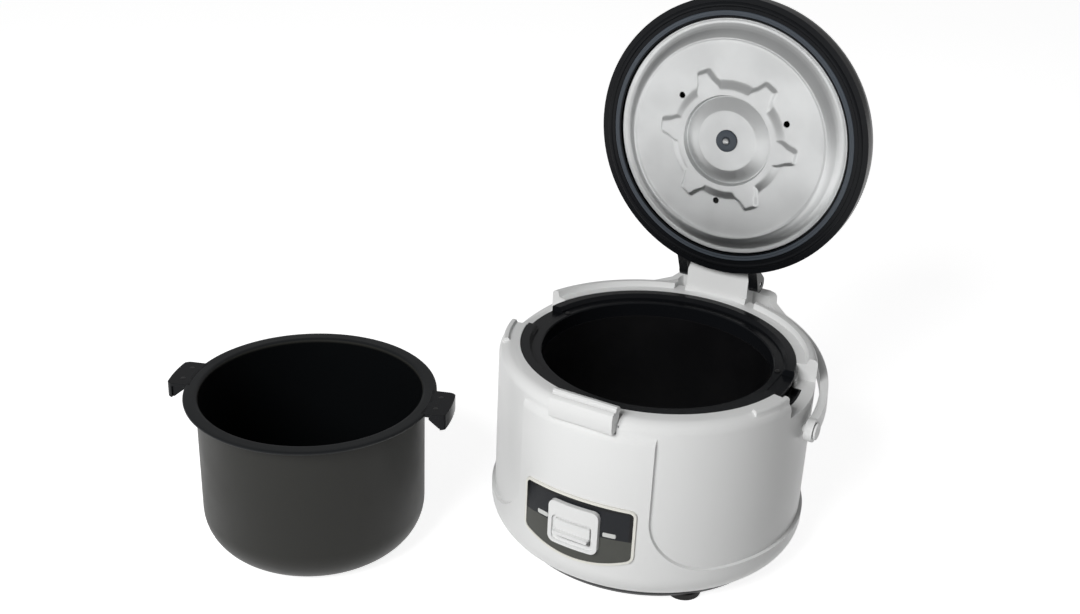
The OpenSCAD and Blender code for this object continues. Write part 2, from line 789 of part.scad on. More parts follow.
module bezel() {
    color(white) at_cooker() difference() {
        intersection() {
            tube(outer_r - seat_in, outer_r + 5, 0, far);
            bezel_cut(0);
        }
        window_cut(0);
        // shallow finger scoop above the lower lip
        intersection() {
            tube(outer_r + 2.5, far, 0, far);
            front_cut(-far / 2, 0) translate([0, window_z]) rounded_rect([window_size[0] + 6,
                window_size[1] + 6], 4);
        }
    }
}
module lamp_lenses() {
    color(red) at_cooker() both_sides() intersection() {
        tube(outer_r - seat_in, outer_r + 1.4, 0, far);
        lamp_window(0);
    }
}
module lamp_holder() {
    color(cream) at_cooker() difference() {
        translate([-holder_half, -holder_y, lamp_at[1] - 6]) cube([2 * holder_half, 2, 12]);
        for (x = [-1, 1]) translate([x * lamp_at[0], -far / 2, lamp_at[1]]) rotate([-90, 0, 0])
            cylinder(r = 2.5 + seat_gap, h = far);
        translate([-7, -far / 2, 0]) cube([14, far, lamp_at[1] + 3]);
    }
    color(cream) at_cooker() both_sides() translate([rib_x, 0, 0]) intersection() {
        translate([0, -holder_y - 28, lamp_at[1] - 4]) cube([3, 28, 8]);
        translate([-rib_x, 0, 0]) cylinder(r = wall_r - seat_gap, h = far);
    }
}
module lamps() {
    color(red) at_cooker() both_sides() translate([lamp_at[0], -holder_y - 2, lamp_at[1]])
        rotate([90, 0, 0]) {
        translate([0, 0, -6]) cylinder(r = 2.5, h = 9);
        translate([0, 0, 3]) sphere(r = 2.5);
    }
}

// ---------- power inlet ----------
module inlet_cut(grow) {
    translate([0, far / 2, inlet_z]) rotate([90, 0, 0]) linear_extrude(far / 2)
        rounded_rect([inlet_size[0] + 2 * grow, inlet_size[1] + 2 * grow], 3 + grow);
}
module power_inlet() {
    wall = 2;
    color(black) at_cooker() difference() {
        union() {
            intersection() {
                translate([0, 0, 0]) inlet_cut(0);
                translate([-far / 2, inlet_y, 0]) cube([far, body_r - inlet_y, far]);
            }
            intersection() {
                tube(body_r + 0.1, body_r + 2, 0, far);
                translate([0, far / 2, inlet_z]) rotate([90, 0, 0]) linear_extrude(far / 2)
                    rounded_rect([inlet_size[0] + 22, inlet_size[1] + 6], 5);
            }
        }
        translate([0, far / 2, inlet_z]) rotate([90, 0, 0]) linear_extrude(far / 2 - inlet_y - 2)
            rounded_rect([inlet_size[0] - 2 * wall, inlet_size[1] - 2 * wall], 2);
        for (x = [-1, 1]) translate([x * 7, inlet_y - 10, inlet_z]) rotate([-90, 0, 0])
            cylinder(r = 2, h = 20);
        both_sides() translate([inlet_screw_x, inlet_y + 10, inlet_z]) rotate([-90, 0, 0]) {
            cylinder(r = 1.5 + seat_gap, h = 60);
            translate([0, 0, inlet_screw_y - inlet_y - 10]) cylinder(r = 3.2, h = 60);
        }
    }
}
module inlet_pins() {
    color(brass) at_cooker() for (x = [-1, 1]) translate([x * 7, inlet_y - 4, inlet_z])
        rotate([-90, 0, 0]) {
        cylinder(r = 2, h = 26);
        translate([0, 0, 26]) sphere(r = 2);
    }
}
module inlet_screws() {
    color(steel) at_cooker() both_sides() translate([inlet_screw_x, inlet_screw_y, inlet_z])
        rotate([90, 0, 0])
        screw(1.5, 4, 3, 1.4);
}

// ---------- hinge, latch and handle ----------
module hinge_pin() {
    color(steel) at_cooker() translate([-arm_x1 + 0.6, hinge_y, hinge_z]) rotate([0, 90, 0])
        cylinder(r = pin_r, h = 2 * arm_x1 - 1.2);
}
module hinge_spring() {
    color(steel) at_cooker() translate([block_half - spring_pocket + 0.4, hinge_y, hinge_z])
        rotate([0, 90, 0])
        coil(4.2, 0.8, 0, spring_pocket - 0.8, 6);
}
module pivot_screws() {
    color(white) at_cooker() both_sides() translate([handle_r1 + 0.4, 0, pivot_z]) rotate([0, -90, 0]) {
        cylinder(r = pivot_r, h = handle_r1 + 0.4 - body_r);
        cylinder(r = pivot_r - 2, h = handle_r1 - body_r + 9);
        translate([0, 0, -2]) intersection() {
            cylinder(r = 7.5, h = 2);
            translate([0, 0, 14]) sphere(r = 16.5);
        }
    }
}
module latch_outline() {
    y0 = front_y - 1.5;
    polygon([
        [y0 + 1, latch_low_z + 1.5], [y0, latch_low_z + 4], [y0 - 0.5, rim_z + 2], [y0 + 0.5, rim_z + 5.5],
        [y0 + 2.5, rim_z + 7], [y0 + 4.2, rim_z + 7.3], [y0 + 4.7, rim_z + 5], [y0 + 5.7, rim_z + 5],
        [y0 + 6.2, rim_z + 9.5], [y0 + 8, rim_z + 10.5], [-lid_r - 3.5, rim_z + 9.5], [-lid_r - 1.6,
            rim_z + 6.5],
        [-lid_r - 1.8, rim_z + 4.5], [-lid_r - 3.5, rim_z + 2.5], [-lid_r - 2.8, latch_pin_z - 3],
            [-lid_r - 6, latch_low_z + 1.5]]);
}
module latch_button() {
    color(white) at_cooker() difference() {
        side_cut(-latch_half, latch_half) latch_outline();
        translate([-far / 2, latch_pin_y, latch_pin_z]) rotate([0, 90, 0])
            cylinder(r = latch_pin_r + pin_gap, h = far);
        translate([10, latch_pin_y - 3, latch_low_z]) cube([8, 12, latch_pin_z - latch_low_z + 3.5]);
    }
}
module latch_pin() {
    color(steel) at_cooker() translate([-latch_half - 2, latch_pin_y, latch_pin_z]) rotate([0, 90, 0])
        cylinder(r = latch_pin_r, h = 2 * latch_half + 4);
}
module latch_spring() {
    color(steel) at_cooker() translate([10.5, latch_pin_y, latch_pin_z]) rotate([0, 90, 0])
        coil(2.4, 0.4, 0, 7, 6);
}
// The carry handle seen flat, pivots on the X axis and its grip towards +Y
module handle_plan() {
    a = 62;
    middle = [0, handle_straight];
    difference() {
        translate(middle) circle(r = handle_r1);
        translate(middle) circle(r = handle_r0);
        translate([-far, handle_straight - far]) square([2 * far, far]);
        polygon([
            middle, middle + [far * cos(a), far * sin(a)], [0, 2 * far], middle + [-far * cos(a),
                far * sin(a)]]);
    }
    both_sides() {
        translate([handle_r0, -1]) square([handle_t, handle_straight + 1.01]);
        polygon([
            middle + handle_r0 * [cos(a - 1), sin(a - 1)], middle + handle_r1 * [cos(a - 3), sin(a - 3)],
            middle + handle_r1 * [cos(a), sin(a)], [grip_half + 14, grip_r - 7],
            [grip_half + 10.5, grip_r + grip_t - 6], [grip_half + 7, grip_r + grip_t - 2],
            [grip_half + 1, grip_r + grip_t], [grip_half, grip_r + grip_t], [grip_half, grip_r],
            [grip_half + 5, grip_r], [grip_half + 6.5, grip_r - 3], [grip_half + 7, grip_r - 8]]);
    }
    translate([-grip_half - 1, grip_r]) square([2 * grip_half + 2, grip_t]);
}
module carry_handle() {
    color(white) at_cooker() translate([0, 0, pivot_z]) rotate([handle_tilt, 0, 0]) difference() {
        union() {
            translate([0, 0, -handle_band / 2]) linear_extrude(handle_band) handle_plan();
            both_sides() rotate([0, 90, 0]) intersection() {
                translate([0, 0, handle_r0]) cylinder(r = 10, h = handle_t);
                translate([-far / 2, -far / 2, handle_r0]) cube([far, far, handle_t]);
            }
        }
        both_sides() rotate([0, 90, 0]) cylinder(r = pivot_r + pin_gap, h = far);
    }
}

// ---------- lid, drawn closed ----------
// Half outline of the lid cover, inset by t
module lid_outline(t) {
    corner_x = lid_r - edge_round;
    dome_z = lid_top_z - dome_r;
    corner_z = dome_z + sqrt(pow(dome_r - edge_round, 2) - corner_x * corner_x);
    touch_x = corner_x * dome_r / (dome_r - edge_round);
    intersection() {
        translate([0, dome_z]) circle(r = dome_r - t);
        translate([0, lid_edge_z - 1]) square([touch_x, far]);
    }
    intersection() {
        translate([corner_x, corner_z]) circle(r = edge_round - t);
        translate([0, lid_edge_z - 1]) square([lid_r, far]);
    }
    translate([0, lid_edge_z - 1]) square([lid_r - t, corner_z - lid_edge_z + 1]);
}
module lid_cover() {
    color(white) at_lid() difference() {
        union() {
            rotate_extrude() difference() {
                lid_outline(0);
                lid_outline(lid_wall);
            }
            // screw bosses and the collar of the steam opening
            intersection() {
                rotate_extrude() lid_outline(1);
                union() {
                    for (a = [45 : 90 : 315]) rotate([0, 0, a]) translate([boss_at_r, 0, pan_z + 2.2])
                        cylinder(r = 5, h = far);
                    translate(steam_at) tube(steam_r + seat_gap, steam_r + 2.2, lid_top_z - 16, far);
                }
            }
        }
        translate([0, 0, lid_edge_z - 5]) cylinder(r = far, h = 5);
        tube(frame_in_r - 4, far, lid_edge_z - 1, band_z);
        translate(steam_at) translate([0, 0, lid_top_z - 17]) cylinder(r = steam_r + seat_gap, h = far);
        for (a = [45 : 90 : 315]) rotate([0, 0, a]) translate([boss_at_r, 0, 0])
            cylinder(r = 1.5, h = lid_edge_z + 16);
    }
}
module arm_outline() {
    polygon([
        [lid_r - 19, lid_low_z + 1], [lid_r - 19, lid_edge_z + 1], [lid_r - 12, lid_edge_z + 4],
            [lid_r - 3, lid_edge_z + 8.5],
        [hinge_y - 6.5, hinge_z + 4.6], [hinge_y, hinge_z], [hinge_y, hinge_z - knuckle_r], [lid_r - 4,
            lid_low_z + 3],
        [lid_r - 8, lid_low_z]]);
    translate([hinge_y, hinge_z]) circle(r = knuckle_r);
}
module lid_frame() {
    color(black) at_lid() difference() {
        union() {
            tube(frame_in_r, lid_r - 0.3, lid_low_z, lid_edge_z);
            tube(frame_in_r, frame_in_r + 2.5, lid_low_z + 2, pan_z + 2);
            translate([0, 0, pan_z]) cylinder(r = frame_in_r + 1, h = 2);
            // the dark band round the lid's edge, and the lip that fits inside the cover
            rotate_extrude() difference() {
                intersection() {
                    lid_outline(0.3);
                    square([lid_r, band_z - seat_gap]);
                }
                lid_outline(lid_wall + 3);
            }
            rotate_extrude() intersection() {
                difference() {
                    lid_outline(lid_wall + seat_gap);
                    lid_outline(lid_wall + 2.2);
                }
                translate([0, lid_edge_z]) square([lid_r, band_z + 3 - lid_edge_z]);
            }
            both_sides() side_cut(arm_x0, arm_x1) arm_outline();
        }
        tube(gasket_r0, gasket_r1, lid_low_z - 1, lid_low_z + 2.8);
        both_sides() translate([0, hinge_y, hinge_z]) rotate([0, 90, 0])
            cylinder(r = pin_r + pin_gap, h = far);
        translate([0, 0, pan_z - 1]) cylinder(r = post_r, h = 5);
        translate(steam_at) cylinder(r = steam_tube_r + seat_gap, h = far);
        for (a = [45 : 90 : 315]) rotate([0, 0, a]) translate([boss_at_r, 0, 0])
            cylinder(r = 1.5 + seat_gap, h = far);
        translate([-catch_half - seat_gap, -lid_r - 5, lid_low_z + 1.3])
            cube([2 * (catch_half + seat_gap), 8.7, 10]);
    }
}
module lid_gasket() {
    color(grey) at_lid() {
        tube(gasket_r0 + seat_gap, gasket_r1 - seat_gap, lid_low_z - 0.4, lid_low_z + 2.7);
    }
}
module lid_shield() {
    z0 = pan_z + 2.5;
    color(steel) at_lid() difference() {
        translate([0, 0, z0]) cylinder(r = frame_in_r - 4, h = 1);
        translate([0, 0, z0 - 1]) cylinder(r = post_r + 4, h = 5);
        translate(steam_at) cylinder(r = steam_tube_r + 1, h = far);
        for (a = [45 : 90 : 315]) rotate([0, 0, a]) translate([boss_at_r, 0, 0])
            cylinder(r = 5 + seat_gap, h = far);
        both_sides() translate([arm_x0 - 1, 92, z0 - 1]) cube([arm_w + 2, far, 20]);
    }
}
module lid_post() {
    color(silver) at_lid() {
        translate([0, 0, disc_z - 4]) cylinder(r = post_r - 0.4, h = 1);
        translate([0, 0, disc_z - 3.5]) cylinder(r = post_r, h = pan_z + 2 - disc_z + 3.5);
        translate([0, 0, pan_z + 2]) cylinder(r = post_r + 3, h = 1.5);
    }
}
module lid_screws() {
    color(steel) at_lid() for (a = [45 : 90 : 315]) rotate([0, 0, a]) translate([boss_at_r, 0, pan_z])
        screw(1.5, 11, 3.5, 1.8);
}
module lid_catch() {
    color(steel) at_lid() {
        translate([-catch_half, -lid_r - 0.2, lid_low_z + 1.5]) cube([2 * catch_half, 3.6, 2]);
        translate([-catch_half, -lid_r + 1.6, lid_low_z + 1.5])
            cube([2 * catch_half, 1.8, lid_edge_z - lid_low_z - 1.6]);
    }
}
module steam_socket() {
    color(white) at_lid() translate(steam_at) {
        tube(steam_tube_r - 2, steam_tube_r, pan_z - 2, lid_top_z - 17.5);
        tube(steam_tube_r - 2, steam_r + 1.5, lid_top_z - 19, lid_top_z - 17.2);
    }
}
module steam_cap() {
    z1 = lid_top_z - 2;
    color(white) at_lid() translate(steam_at) difference() {
        union() {
            translate([0, 0, z1 - 2]) cylinder(r1 = steam_r, r2 = steam_r - 1.5, h = 2);
            tube(steam_r - 2, steam_r, lid_top_z - 16.8, z1 - 2);
            tube(steam_tube_r - 4.5, steam_tube_r - 2 - move_gap, lid_top_z - 24, z1 - 2);
        }
        for (a = [0 : 60 : 300]) rotate([0, 0, a]) translate([5, -1, 0]) cube([8, 2, far]);
    }
}

// ---------- inner plate of the lid ----------
module boss_plan(g) {
    tip_half = 5;
    circle(r = boss_root_r - g);
    for (a = [3 : 60 : 303]) rotate([0, 0, a]) {
        polygon([
            [0, -14 + g], [boss_root_r - 6, -12.5 + g], [boss_root_r + 1, -9 + g], [boss_root_r + 6,
                -tip_half - 2 + g],
            [boss_tip_r - 1.5, -tip_half + g], [boss_tip_r - g, -tip_half + 1.5 + g], [boss_tip_r - g,
                tip_half - 1.5 - g],
            [boss_tip_r - 1.5, tip_half - g], [boss_root_r + 6, tip_half + 2 - g], [boss_root_r + 1, 9 - g],
            [boss_root_r - 6, 12.5 - g], [0, 14 - g]]);
    }
}
module plate_section() {
    bead = 1.1;
    polygon([
        [40, field_z], [field_r, field_z], [field_r + 8, field_z + 6.5], [field_r + 11, field_z + 7.5],
        [plate_r - bead, field_z + 7], [plate_r - bead, field_z + 7 + plate_t], [field_r + 11,
            field_z + 7.5 + plate_t],
        [field_r + 7.4, field_z + 6.5 + plate_t], [field_r - 0.6, field_z + plate_t], [40,
            field_z + plate_t]]);
    translate([plate_r - bead, field_z + 7 + plate_t / 2]) circle(r = bead);
}
module inner_plate() {
    boss_z = field_z - boss_drop;
    ring_z = field_z + 1.5;
    color(silver) at_lid() difference() {
        union() {
            rotate_extrude() plate_section();
            translate([0, 0, boss_z]) linear_extrude(field_z + plate_t - boss_z) boss_plan(0);
            translate([0, 0, boss_z]) cylinder(r = recess_r, h = ring_z + plate_t - boss_z);
        }
        translate([0, 0, boss_z + plate_t]) difference() {
            linear_extrude(far) boss_plan(plate_t);
            cylinder(r = recess_r, h = far);
        }
        // recess around the middle, and the middle disc
        tube(disc_r, recess_r - plate_t, boss_z - 1, ring_z);
        translate([0, 0, boss_z - 1]) cylinder(r = disc_r + 1, h = disc_z - boss_z + 1);
        translate([0, 0, disc_z + plate_t]) cylinder(r = disc_r - plate_t, h = far);
        cylinder(r = 6, h = far);
        for (a = steam_angles) rotate([0, 0, a]) translate([58, 0, 0]) cylinder(r = 2.8, h = far);
    }
}
module plate_grommet() {
    color(charcoal) at_lid() difference() {
        union() {
            translate([0, 0, disc_z - 1.6]) cylinder(r = grommet_r, h = 1.6 - eps);
            translate([0, 0, disc_z - 1.6]) cylinder(r = 6 - eps, h = 4.2);
            translate([0, 0, disc_z + plate_t + eps]) cylinder(r = grommet_r - 1, h = 1.6);
        }
        translate([0, 0, disc_z - 5]) cylinder(r = post_r + 0.08, h = 20);
    }
}

// ---------- pot ----------
module pot_outline(r, low, round) {
    translate([0, low + round]) square([r, pot_h - pot_rim_t - low - round]);
    translate([0, low]) square([r - round, pot_h - pot_rim_t - low]);
    intersection() {
        translate([r - round, low + round]) circle(r = round);
        square([r, low + round + 1]);
    }
}
module inner_pot() {
    color(charcoal) at_pot() {
        difference() {
            rotate_extrude() {
                difference() {
                    union() {
                        pot_outline(pot_r, 0, pot_round);
                        translate([0, pot_h - pot_rim_t]) square([pot_rim_r - pot_rim_t / 2, pot_rim_t]);
                        translate([pot_rim_r - pot_rim_t / 2, pot_h - pot_rim_t / 2])
                            circle(r = pot_rim_t / 2);
                    }
                    pot_outline(pot_r - pot_wall, pot_wall, pot_round - pot_wall);
                    translate([-1, pot_h - pot_rim_t - 5]) square([pot_r - pot_wall + 1, 20]);
                }
            }
            both_sides() pot_ear_body(seat_gap);
        }
    }
}
// An ear: a flat tab with its outer lip turned down
module pot_ear_body(grow) {
    half = ear_w / 2 + grow;
    intersection() {
        union() {
            tube(pot_rim_r - 4 - grow, ear_tip_r, pot_h - pot_rim_t - grow, pot_h + grow);
            tube(ear_tip_r - ear_t, ear_tip_r, pot_h - ear_drop, pot_h);
        }
        linear_extrude(far) {
            translate([0, -half]) square([ear_tip_r - ear_round, 2 * half]);
            translate([0, ear_round - half]) square([far, 2 * (half - ear_round)]);
            for (a = [-1, 1]) translate([ear_tip_r - ear_round, a * (half - ear_round)])
                circle(r = ear_round);
        }
    }
}
module pot_ears() {
    color(black) at_pot() both_sides() difference() {
        pot_ear_body(0);
        for (a = [-1, 1]) rotate([0, 0, a * 5]) translate([ear_rivet_r, 0, 0])
            cylinder(r = 1.5 + seat_gap, h = far);
    }
}
module ear_rivets() {
    color(steel) at_pot() both_sides() for (a = [-1, 1]) rotate([0, 0, a * 5])
        translate([ear_rivet_r, 0, pot_h - pot_rim_t]) {
        translate([0, 0, -0.6]) cylinder(r = 2.2, h = 0.6);
        cylinder(r = 1.5, h = pot_rim_t - 0.4);
    }
}

// ---------- drawing ----------
outer_casing();
top_ring();
ring_rivets();
inner_liner();
keep_warm_band();
base_cover();
base_feet();
base_screws();
heating_plate();
heater_tube();
plate_posts();
thermostat_guide();
thermostat_cup();
thermostat_spring();
magnet_carrier();
magnet();
switch_bar();
switch_bracket();
switch_pin();
micro_switch();
thermal_fuse();
terminal_block();
power_inlet();
inlet_pins();
inlet_screws();
fascia();
fascia_trim();
bezel();
lamp_lenses();
lamp_holder();
lamps();
cook_lever();
lever_spring();
hinge_pin();
hinge_spring();
pivot_screws();
latch_button();
latch_pin();
latch_spring();
carry_handle();
lid_cover();
lid_frame();
lid_gasket();
lid_catch();
lid_shield();
lid_post();
lid_screws();
inner_plate();
plate_grommet();
steam_socket();
steam_cap();
inner_pot();
pot_ears();
ear_rivets();
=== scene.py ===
import json
import math

import bmesh
import bpy
import numpy as np
from mathutils import Matrix, Vector


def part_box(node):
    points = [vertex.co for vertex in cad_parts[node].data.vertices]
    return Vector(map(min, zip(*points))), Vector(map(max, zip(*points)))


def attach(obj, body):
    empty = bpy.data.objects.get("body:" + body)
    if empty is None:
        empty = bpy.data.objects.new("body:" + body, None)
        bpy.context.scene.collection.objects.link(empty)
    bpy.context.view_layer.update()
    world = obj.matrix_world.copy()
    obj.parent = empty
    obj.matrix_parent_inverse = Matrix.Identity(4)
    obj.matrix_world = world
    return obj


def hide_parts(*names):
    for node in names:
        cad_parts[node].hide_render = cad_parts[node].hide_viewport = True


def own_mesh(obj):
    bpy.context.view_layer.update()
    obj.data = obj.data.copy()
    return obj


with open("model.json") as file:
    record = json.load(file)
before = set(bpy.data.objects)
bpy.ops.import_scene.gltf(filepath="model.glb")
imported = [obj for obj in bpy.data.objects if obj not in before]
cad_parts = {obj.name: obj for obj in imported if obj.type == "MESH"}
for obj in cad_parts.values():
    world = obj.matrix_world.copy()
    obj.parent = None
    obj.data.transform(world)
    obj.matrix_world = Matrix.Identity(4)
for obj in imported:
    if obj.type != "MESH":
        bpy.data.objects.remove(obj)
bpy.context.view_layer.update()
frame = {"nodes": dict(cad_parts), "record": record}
nodes = frame["nodes"]
millimetre = 0.001
cookerAt = Vector((0.1085, 0.053, 0.0))  # middle of the cooker's foot circle


# Camera, light and floor

cameraLook = {
    "place": (0.52225, -0.9097, 0.6986),
    "turn": (65.144, -2.2125, 29.9734),  # degrees
    "lens": 44.44,  # mm
    "sensor": 36.0,  # mm
    "clip": (0.01, 50.0),
}
lightLook = {  # places and sizes in metres, powers in watts
    "aimedAt": (0.0, 0.0, 0.12),
    "keyPlace": (-0.1, -1.62, 1.25),
    "keySize": 1.0,
    "keyPower": 32.0,
    "fillPlace": (1.7, -0.7, 0.9),
    "fillSize": 1.4,
    "fillPower": 0.25,
    "backPlace": (0.5, 1.5, 1.7),
    "backSize": 1.0,
    "backPower": 1.5,
    "roomLevel": 0.12,
    "mirroredLevel": 0.42,  # the room as gloss and metal see it
}
floorLook = {
    "size": 9.0,
    "colour": (0.7, 0.7, 0.7),
    "darkest": 0.985,  # of the colour, in the paper's clouds
    "clouds": 3.0,
    "roughness": 0.9,
    "shownWhite": 0.84,
}


class Value:  # a shader socket that takes part in ordinary sums
    def __init__(self, finish, socket):
        self.finish = finish
        self.socket = socket

    def sum(self, operation, first, second):
        return self.finish.add("ShaderNodeMath", {"operation": operation}, {0: first, 1: second})

    def __add__(self, other):
        return self.sum("ADD", self, other)

    def __radd__(self, other):
        return self.sum("ADD", other, self)

    def __sub__(self, other):
        return self.sum("SUBTRACT", self, other)

    def __rsub__(self, other):
        return self.sum("SUBTRACT", other, self)

    def __mul__(self, other):
        return self.sum("MULTIPLY", self, other)

    def __rmul__(self, other):
        return self.sum("MULTIPLY", other, self)

    def __pow__(self, other):
        return self.sum("POWER", self, other)

    def ramp(self, low, high, start=0.0, end=1.0):  # smooth step from start to end
        sockets = {"Value": self, "From Min": low, "From Max": high, "To Min": start, "To Max": end}
        return self.finish.add("ShaderNodeMapRange", {"interpolation_type": "SMOOTHSTEP"}, sockets)


class Finish:  # one material, with the nodes that feed its shader
    def __init__(self, name):
        self.material = bpy.data.materials.new(name)
        self.material.use_nodes = True
        self.tree = self.material.node_tree
        self.tree.nodes.clear()
        self.output = self.tree.nodes.new("ShaderNodeOutputMaterial")
        self.shader = self.tree.nodes.new("ShaderNodeBsdfPrincipled")
        self.tree.links.new(self.shader.outputs[0], self.output.inputs[0])

    def put(self, socket, value):
        if isinstance(value, Value):
            self.tree.links.new(value.socket, socket)
        elif hasattr(value, "__len__") and len(value) == 3 and len(socket.default_value) == 4:
            socket.default_value = (*value, 1.0)
        else:
            socket.default_value = value

    def add(self, kind, settings=None, sockets=None, output=0):
        made = self.tree.nodes.new(kind)
        for key, value in (settings or {}).items():
            setattr(made, key, value)
        for key, value in (sockets or {}).items():
            self.put(made.inputs[key], value)
        return Value(self, made.outputs[output])

    def place(self, shift=(0, 0, 0), turn=(0, 0, 0), stretch=(1, 1, 1)):
        where = self.add("ShaderNodeTexCoord", output=3)
        sockets = {"Vector": where, "Location": shift, "Rotation": turn, "Scale": stretch}
        return self.add("ShaderNodeMapping", {"vector_type": "TEXTURE"}, sockets)

    def noise(self, scale, detail=3.0, roughness=0.55, where=None):
        sockets = {"Scale": scale, "Detail": detail, "Roughness": roughness}
        return self.add("ShaderNodeTexNoise", {}, sockets | {"Vector": where or self.place()})

    def mix(self, share, first, second):  # colours
        return self.add("ShaderNodeMix", {"data_type": "RGBA"}, {0: share, 6: first, 7: second}, output=2)

    def axis(self, where, index):
        return self.add("ShaderNodeSeparateXYZ", {}, {0: where}, output=index)

    def bump(self, height, depth):  # depth in metres
        sockets = {"Height": height, "Distance": depth, "Strength": 1.0}
        return self.add("ShaderNodeBump", {}, sockets)

    def set(self, **values):
        for key, value in values.items():
            self.put(self.shader.inputs[socketNames[key]], value)
        return self.material


socketNames = {
    "colour": "Base Color",
    "roughness": "Roughness",
    "metal": "Metallic",
    "normal": "Normal",
    "coat": "Coat Weight",
    "coatRoughness": "Coat Roughness",
    "ior": "IOR",
}


def newObject(name, mesh):
    made = bpy.data.objects.new(name, mesh)
    bpy.context.scene.collection.objects.link(made)
    return made


def makeCamera():
    data = bpy.data.cameras.new("camera")
    data.lens = cameraLook["lens"]
    data.sensor_width = cameraLook["sensor"]
    data.clip_start, data.clip_end = cameraLook["clip"]
    camera = newObject("camera", data)
    camera.location = cameraLook["place"]
    camera.rotation_euler = [math.radians(a) for a in cameraLook["turn"]]
    bpy.context.scene.camera = camera


def makeLamp(name):
    data = bpy.data.lights.new(name, "AREA")
    data.shape = "DISK"
    data.size = lightLook[name + "Size"]
    data.energy = lightLook[name + "Power"]
    lamp = newObject(name, data)
    lamp.location = lightLook[name + "Place"]
    aim = Vector(lightLook["aimedAt"]) - lamp.location
    lamp.rotation_euler = aim.to_track_quat("-Z", "Y").to_euler()
    lamp.visible_glossy = False  # metal and gloss mirror the floor and the room, not the lamps


def makeRoom():
    for name in ("key", "fill", "back"):
        makeLamp(name)
    world = bpy.data.worlds.new("room")
    bpy.context.scene.world = world
    world.use_nodes = True
    tree = world.node_tree
    path = tree.nodes.new("ShaderNodeLightPath")
    mirror = tree.nodes.new("ShaderNodeMapRange")
    mirror.inputs["To Min"].default_value = lightLook["roomLevel"]
    mirror.inputs["To Max"].default_value = lightLook["mirroredLevel"]
    tree.links.new(path.outputs["Is Glossy Ray"], mirror.inputs["Value"])
    level = tree.nodes.new("ShaderNodeMapRange")
    level.inputs["To Max"].default_value = 1.0
    tree.links.new(mirror.outputs[0], level.inputs["To Min"])
    tree.links.new(path.outputs["Is Camera Ray"], level.inputs["Value"])
    background = tree.nodes["Background"]
    background.inputs["Color"].default_value = (1, 1, 1, 1)
    tree.links.new(level.outputs[0], background.inputs["Strength"])


lightPathRays = ("Is Camera Ray", "Is Glossy Ray", "Is Transmission Ray")


def makeFloor():
    half = floorLook["size"] / 2
    corners = [(-half, -half, 0), (half, -half, 0), (half, half, 0), (-half, half, 0)]
    mesh = bpy.data.meshes.new("floor")
    mesh.from_pydata(corners, [], [(0, 1, 2, 3)])
    floor = newObject("floor", mesh)
    paper = Finish("floor_paper")
    tone = paper.noise(floorLook["clouds"]).ramp(0.2, 0.8)
    deep = [c * floorLook["darkest"] for c in floorLook["colour"]]
    paper.set(colour=paper.mix(tone, floorLook["colour"], deep), roughness=floorLook["roughness"])
    camera, mirrored, through = (paper.add("ShaderNodeLightPath", output=ray) for ray in lightPathRays)
    seen = (camera + mirrored + through).ramp(0.0, 1.0) * floorLook["shownWhite"]
    glow = paper.add("ShaderNodeEmission", {}, {"Color": seen, "Strength": 1.0})
    both = paper.add("ShaderNodeAddShader", {}, {1: glow})  # the lamps' light adds to it, so shadows show
    paper.tree.links.new(paper.shader.outputs[0], both.socket.node.inputs[0])
    paper.tree.links.new(both.socket, paper.output.inputs[0])
    mesh.materials.append(paper.material)


makeCamera()
makeRoom()
makeFloor()
bpy.context.scene.view_settings.view_transform = "Standard"
print("camera, lamps and floor made")


# Finishes

plasticLooks = {
    "white_plastic": {"colour": (0.80, 0.805, 0.80), "shift": 0.012, "roughness": 0.33, "grain": 900,
                      "depth": 0.000006, "coat": 0.08, "ior": 1.36},
    "black_plastic": {"colour": (0.006, 0.0066, 0.0078), "shift": 0.2, "roughness": 0.26, "grain": 1100,
                      "depth": 0.00001, "coat": 0.0, "ior": 1.22},
    "dark_plastic": {"colour": (0.025, 0.025, 0.027), "shift": 0.15, "roughness": 0.5, "grain": 1500,
                     "depth": 0.00005, "coat": 0.0, "ior": 1.46},
    "cream_plastic": {"colour": (0.80, 0.79, 0.73), "shift": 0.02, "roughness": 0.35, "grain": 1100,
                      "depth": 0.00002, "coat": 0.1, "ior": 1.46},
    "lens_plastic": {"colour": (0.62, 0.63, 0.61), "shift": 0.03, "roughness": 0.2, "grain": 500,
                     "depth": 0.00001, "coat": 0.4, "ior": 1.46},
    "grey_plastic": {"colour": (0.16, 0.165, 0.17), "shift": 0.08, "roughness": 0.5, "grain": 1400,
                     "depth": 0.00004, "coat": 0.0, "ior": 1.46},
    "rubber": {"colour": (0.009, 0.009, 0.009), "shift": 0.2, "roughness": 0.7, "grain": 1600,
               "depth": 0.00008, "coat": 0.0, "ior": 1.46},
    "gasket_rubber": {"colour": (0.052, 0.062, 0.075), "shift": 0.1, "roughness": 0.45, "grain": 1300,
                      "depth": 0.00003, "coat": 0.0, "ior": 1.46},
}
mouldedWear = {"clouds": 6.0, "speckGrain": 0.6, "speckShare": 0.12, "speckTone": 0.8, "patches": 14.0}
metalLooks = {
    "steel": {"colour": (0.72, 0.73, 0.74), "roughness": 0.25, "stretch": (1, 1, 12), "depth": 0.00001},
    "brass": {"colour": (0.62, 0.44, 0.16), "roughness": 0.3, "stretch": (1, 8, 1), "depth": 0.00001},
}
drawnLines = {"scale": 420.0, "clouds": 30.0, "light": 1.05, "dull": 0.9}
sheetLook = {
    "colour": (0.7, 0.71, 0.71),
    "roughness": 0.42,
    "lines": 1500.0,
    "clouds": 24.0,
    "grain": 800.0,
    "depth": 0.000004,
}
